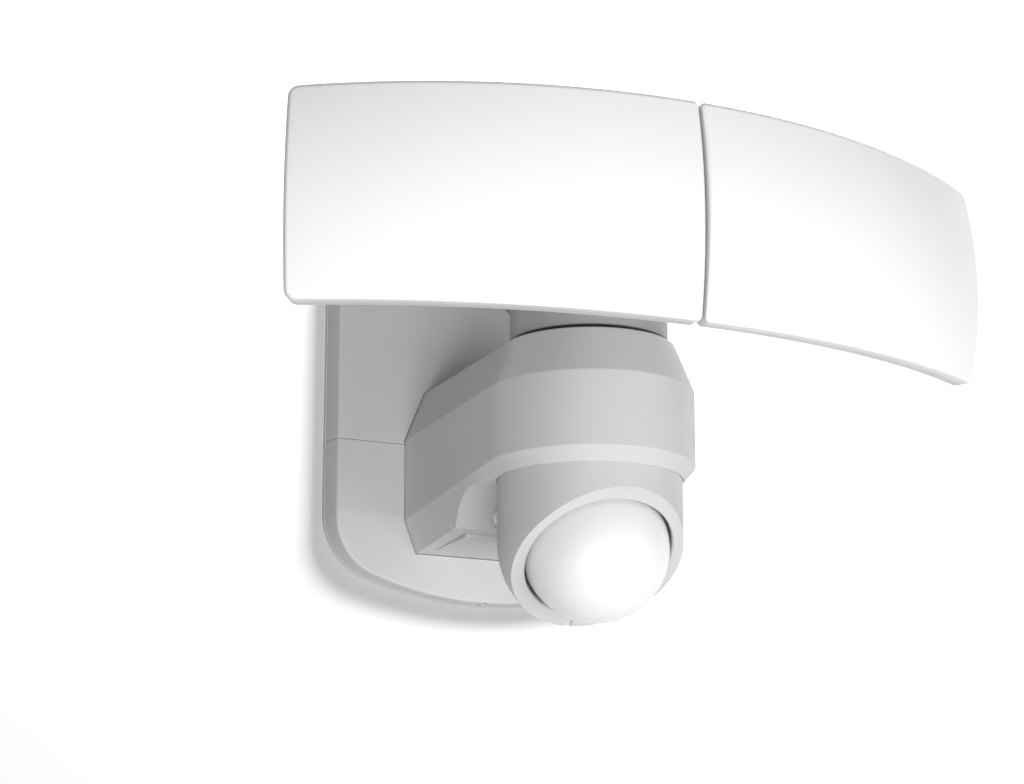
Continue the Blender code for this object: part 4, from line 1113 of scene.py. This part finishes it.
def stage_sheet(name, place, half_width, half_height, turn, glow, bounce, see_through):
    """A plain pale backdrop sheet that glows a little and bounces only part of the light.

    A see-through sheet vanishes from behind, so that the back of the object can be looked at.
    """
    bm = bmesh.new()
    matrix = Matrix.Translation(place) @ Matrix.Rotation(turn, 4, "X")
    bmesh.ops.create_grid(bm, x_segments=1, y_segments=1, size=1.0,
                          matrix=matrix @ Matrix.Diagonal((half_width, half_height, 1, 1)))
    sheet = scratch_object(bm, name)
    material, tree, shader = new_material(name)
    set_inputs(tree, shader, {"Base Color": (0.92, 0.92, 0.92, 1), "Roughness": 0.95,
                              "Specular IOR Level": 0.0, "Emission Color": (1, 1, 1, 1),
                              "Emission Strength": glow})
    rays = add_node(tree, "LightPath", {}).outputs
    dim = add_node(tree, "BsdfDiffuse", {"Color": (bounce, bounce, bounce, 1)})
    surface = add_node(tree, "MixShader", {0: rays["Is Diffuse Ray"], 1: shader.outputs[0],
                                           2: dim.outputs[0]})
    if see_through:
        # Light from behind also reaches the back of the plate, which all but touches the sheet.
        touching = add_node(tree, "Math", {0: rays["Ray Length"], 1: TOUCHING}, operation="LESS_THAN")
        facing = add_node(tree, "NewGeometry", {})
        either = add_node(tree, "Math", {0: facing.outputs["Backfacing"], 1: touching.outputs["Value"]},
                          operation="MAXIMUM")
        clear = add_node(tree, "BsdfTransparent", {})
        surface = add_node(tree, "MixShader", {0: either.outputs["Value"], 1: surface.outputs[0],
                                               2: clear.outputs[0]})
    set_inputs(tree, tree.nodes["Material Output"], {"Surface": surface.outputs[0]})
    sheet.data.materials.append(material)
    return sheet


def area_light(name, place, size, power, lights=None, shadows=None):
    """A square soft light on the object, with the collections it lights and is shadowed by."""
    lamp = bpy.data.lights.new(name, "AREA")
    lamp.shape = "SQUARE"
    lamp.size = size
    lamp.energy = power
    light = bpy.data.objects.new(name, lamp)
    light.location = place
    light.rotation_euler = (LIGHT_TARGET - Vector(place)).to_track_quat("-Z", "Y").to_euler()
    light.light_linking.receiver_collection = lights
    light.light_linking.blocker_collection = shadows
    bpy.context.scene.collection.objects.link(light)


def object_set(name, objects):
    """A collection that only light linking uses."""
    collection = bpy.data.collections.new(name)
    for item in objects:
        collection.objects.link(item)
    return collection


def make_world():
    """Soft room light; the camera sees it nearly white."""
    world = bpy.data.worlds.new("pale_room")
    world.use_nodes = True
    tree = world.node_tree
    room = tree.nodes["Background"]
    set_inputs(tree, room, {"Color": (1, 1, 1, 1), "Strength": 0.23})
    pale = add_node(tree, "Background", {"Color": (1, 1, 1, 1), "Strength": 0.95})
    rays = add_node(tree, "LightPath", {})
    seen = add_node(tree, "MixShader", {0: rays.outputs["Is Camera Ray"], 1: room.outputs[0],
                                        2: pale.outputs[0]})
    set_inputs(tree, tree.nodes["World Output"], {"Surface": seen.outputs[0]})
    bpy.context.scene.world = world


def make_stage():
    scene = bpy.context.scene
    height = STAGE_REACH - FLOOR_Z
    wall = stage_sheet("wall_sheet", (0, 0.0006, FLOOR_Z + height / 2), STAGE_REACH, height / 2, QUARTER,
                       0.26, 0.15, True)
    stage_sheet("floor_sheet", (0, 0, FLOOR_Z), STAGE_REACH, STAGE_REACH, 0.0, 0.55, 0.85, False)
    all_but_wall = object_set("all_but_the_wall", [wall])
    all_but_wall.collection_objects[0].light_linking.link_state = "EXCLUDE"
    base = object_set("wall_base", [piece for piece in scene.objects if piece.name in (
        "wall_plate_moulding", "upper_cover_shell", "lower_cover_shell")])
    area_light("key_soft", (0.74, -1.26, -0.66), 0.9, 10.6, all_but_wall)
    area_light("low_soft", (-0.42, -1.16, -0.70), 0.8, 12.2, all_but_wall)
    area_light("wall_wash", (0.45, -0.55, 0.75), 0.5, 20.5, object_set("wall_only", [wall]), base)
    area_light("back_soft", (0.6, 1.5, 0.6), 1.0, 9.0, all_but_wall, all_but_wall)
    make_world()
    camera_data = bpy.data.cameras.new("view_camera")
    camera_data.lens = 90.09
    camera_data.sensor_width = 36.0
    camera = bpy.data.objects.new("view_camera", camera_data)
    camera.location = (-0.5235, -1.1876, -0.3063)
    camera.rotation_euler = (math.radians(104.266), 0, math.radians(-24.564))
    scene.collection.objects.link(camera)
    scene.camera = camera
    scene.view_settings.view_transform = "Standard"


# ---------------------------------------------------------------- operators and panel

class FLOODLIGHT_OT_materials(bpy.types.Operator):
    """Make the shader groups and the procedural finishes"""
    bl_idname = "floodlight.materials"
    bl_label = "Materials"

    def execute(self, context):
        make_materials()
        return {"FINISHED"}


class FLOODLIGHT_OT_wall_base(bpy.types.Operator):
    """Build the wall plate, its two covers, the lock screw and the cable grommet"""
    bl_idname = "floodlight.wall_base"
    bl_label = "Wall base"

    def execute(self, context):
        make_wall_plate()
        make_covers()
        make_base_fixings()
        return {"FINISHED"}


class FLOODLIGHT_OT_arm(bpy.types.Operator):
    """Build the arm with its round head and the lid under it"""
    bl_idname = "floodlight.arm"
    bl_label = "Arm and head"

    def execute(self, context):
        make_arm()
        return {"FINISHED"}


class FLOODLIGHT_OT_dials(bpy.types.Operator):
    """Build the two setting dials"""
    bl_idname = "floodlight.dials"
    bl_label = "Setting dials"

    def execute(self, context):
        make_dials()
        return {"FINISHED"}


class FLOODLIGHT_OT_column(bpy.types.Operator):
    """Build the swivelling column with its fork, gasket, nut and tilt bolt"""
    bl_idname = "floodlight.column"
    bl_label = "Column and fork"

    def execute(self, context):
        make_column()
        return {"FINISHED"}


class FLOODLIGHT_OT_yoke(bpy.types.Operator):
    """Build the yoke that carries the panels, with its pins and washers"""
    bl_idname = "floodlight.yoke"
    bl_label = "Panel yoke"

    def execute(self, context):
        make_yoke()
        return {"FINISHED"}


class FLOODLIGHT_OT_panels(bpy.types.Operator):
    """Build the two curved light panels with their back cases and screws"""
    bl_idname = "floodlight.panels"
    bl_label = "Light panels"

    def execute(self, context):
        make_panel("left", -1)
        make_panel("right", 1)
        return {"FINISHED"}


class FLOODLIGHT_OT_sensor(bpy.types.Operator):
    """Build the sensor turret and its opal dome"""
    bl_idname = "floodlight.sensor"
    bl_label = "Motion sensor"

    def execute(self, context):
        make_turret()
        make_lens_dome()
        return {"FINISHED"}


class FLOODLIGHT_OT_inner_finishes(bpy.types.Operator):
    """Give the inner parts their finishes"""
    bl_idname = "floodlight.inner_finishes"
    bl_label = "Inner parts"

    def execute(self, context):
        finish_inner_nodes()
        return {"FINISHED"}


class FLOODLIGHT_OT_stage(bpy.types.Operator):
    """Make the pale wall and floor, the soft lights and the camera"""
    bl_idname = "floodlight.stage"
    bl_label = "Stage"

    def execute(self, context):
        make_stage()
        return {"FINISHED"}


STEPS = (FLOODLIGHT_OT_materials, FLOODLIGHT_OT_wall_base, FLOODLIGHT_OT_arm, FLOODLIGHT_OT_dials,
         FLOODLIGHT_OT_column, FLOODLIGHT_OT_yoke, FLOODLIGHT_OT_panels, FLOODLIGHT_OT_sensor,
         FLOODLIGHT_OT_inner_finishes, FLOODLIGHT_OT_stage)


class FLOODLIGHT_PT_sidebar(bpy.types.Panel):
    bl_idname = "FLOODLIGHT_PT_sidebar"
    bl_label = "Floodlight"
    bl_space_type = "VIEW_3D"
    bl_region_type = "UI"
    bl_category = "Floodlight"

    def draw(self, context):
        for settings in (context.scene.floodlight_sizes, context.scene.floodlight_colours):
            for name in settings.bl_rna.properties.keys():
                if name not in ("rna_type", "name"):
                    self.layout.prop(settings, name)
        for step in STEPS:
            self.layout.operator(step.bl_idname)


CLASSES = (FloodlightSizes, FloodlightColours) + STEPS + (FLOODLIGHT_PT_sidebar,)


def register():
    for kind in CLASSES:
        bpy.utils.register_class(kind)
    bpy.types.Scene.floodlight_sizes = bpy.props.PointerProperty(type=FloodlightSizes)
    bpy.types.Scene.floodlight_colours = bpy.props.PointerProperty(type=FloodlightColours)


def unregister():
    del bpy.types.Scene.floodlight_colours
    del bpy.types.Scene.floodlight_sizes
    for kind in reversed(CLASSES):
        bpy.utils.unregister_class(kind)


def main():
    register()
    for step in STEPS:
        group, name = step.bl_idname.split(".")
        getattr(getattr(bpy.ops, group), name)()


if __name__ == "__main__":
    main()
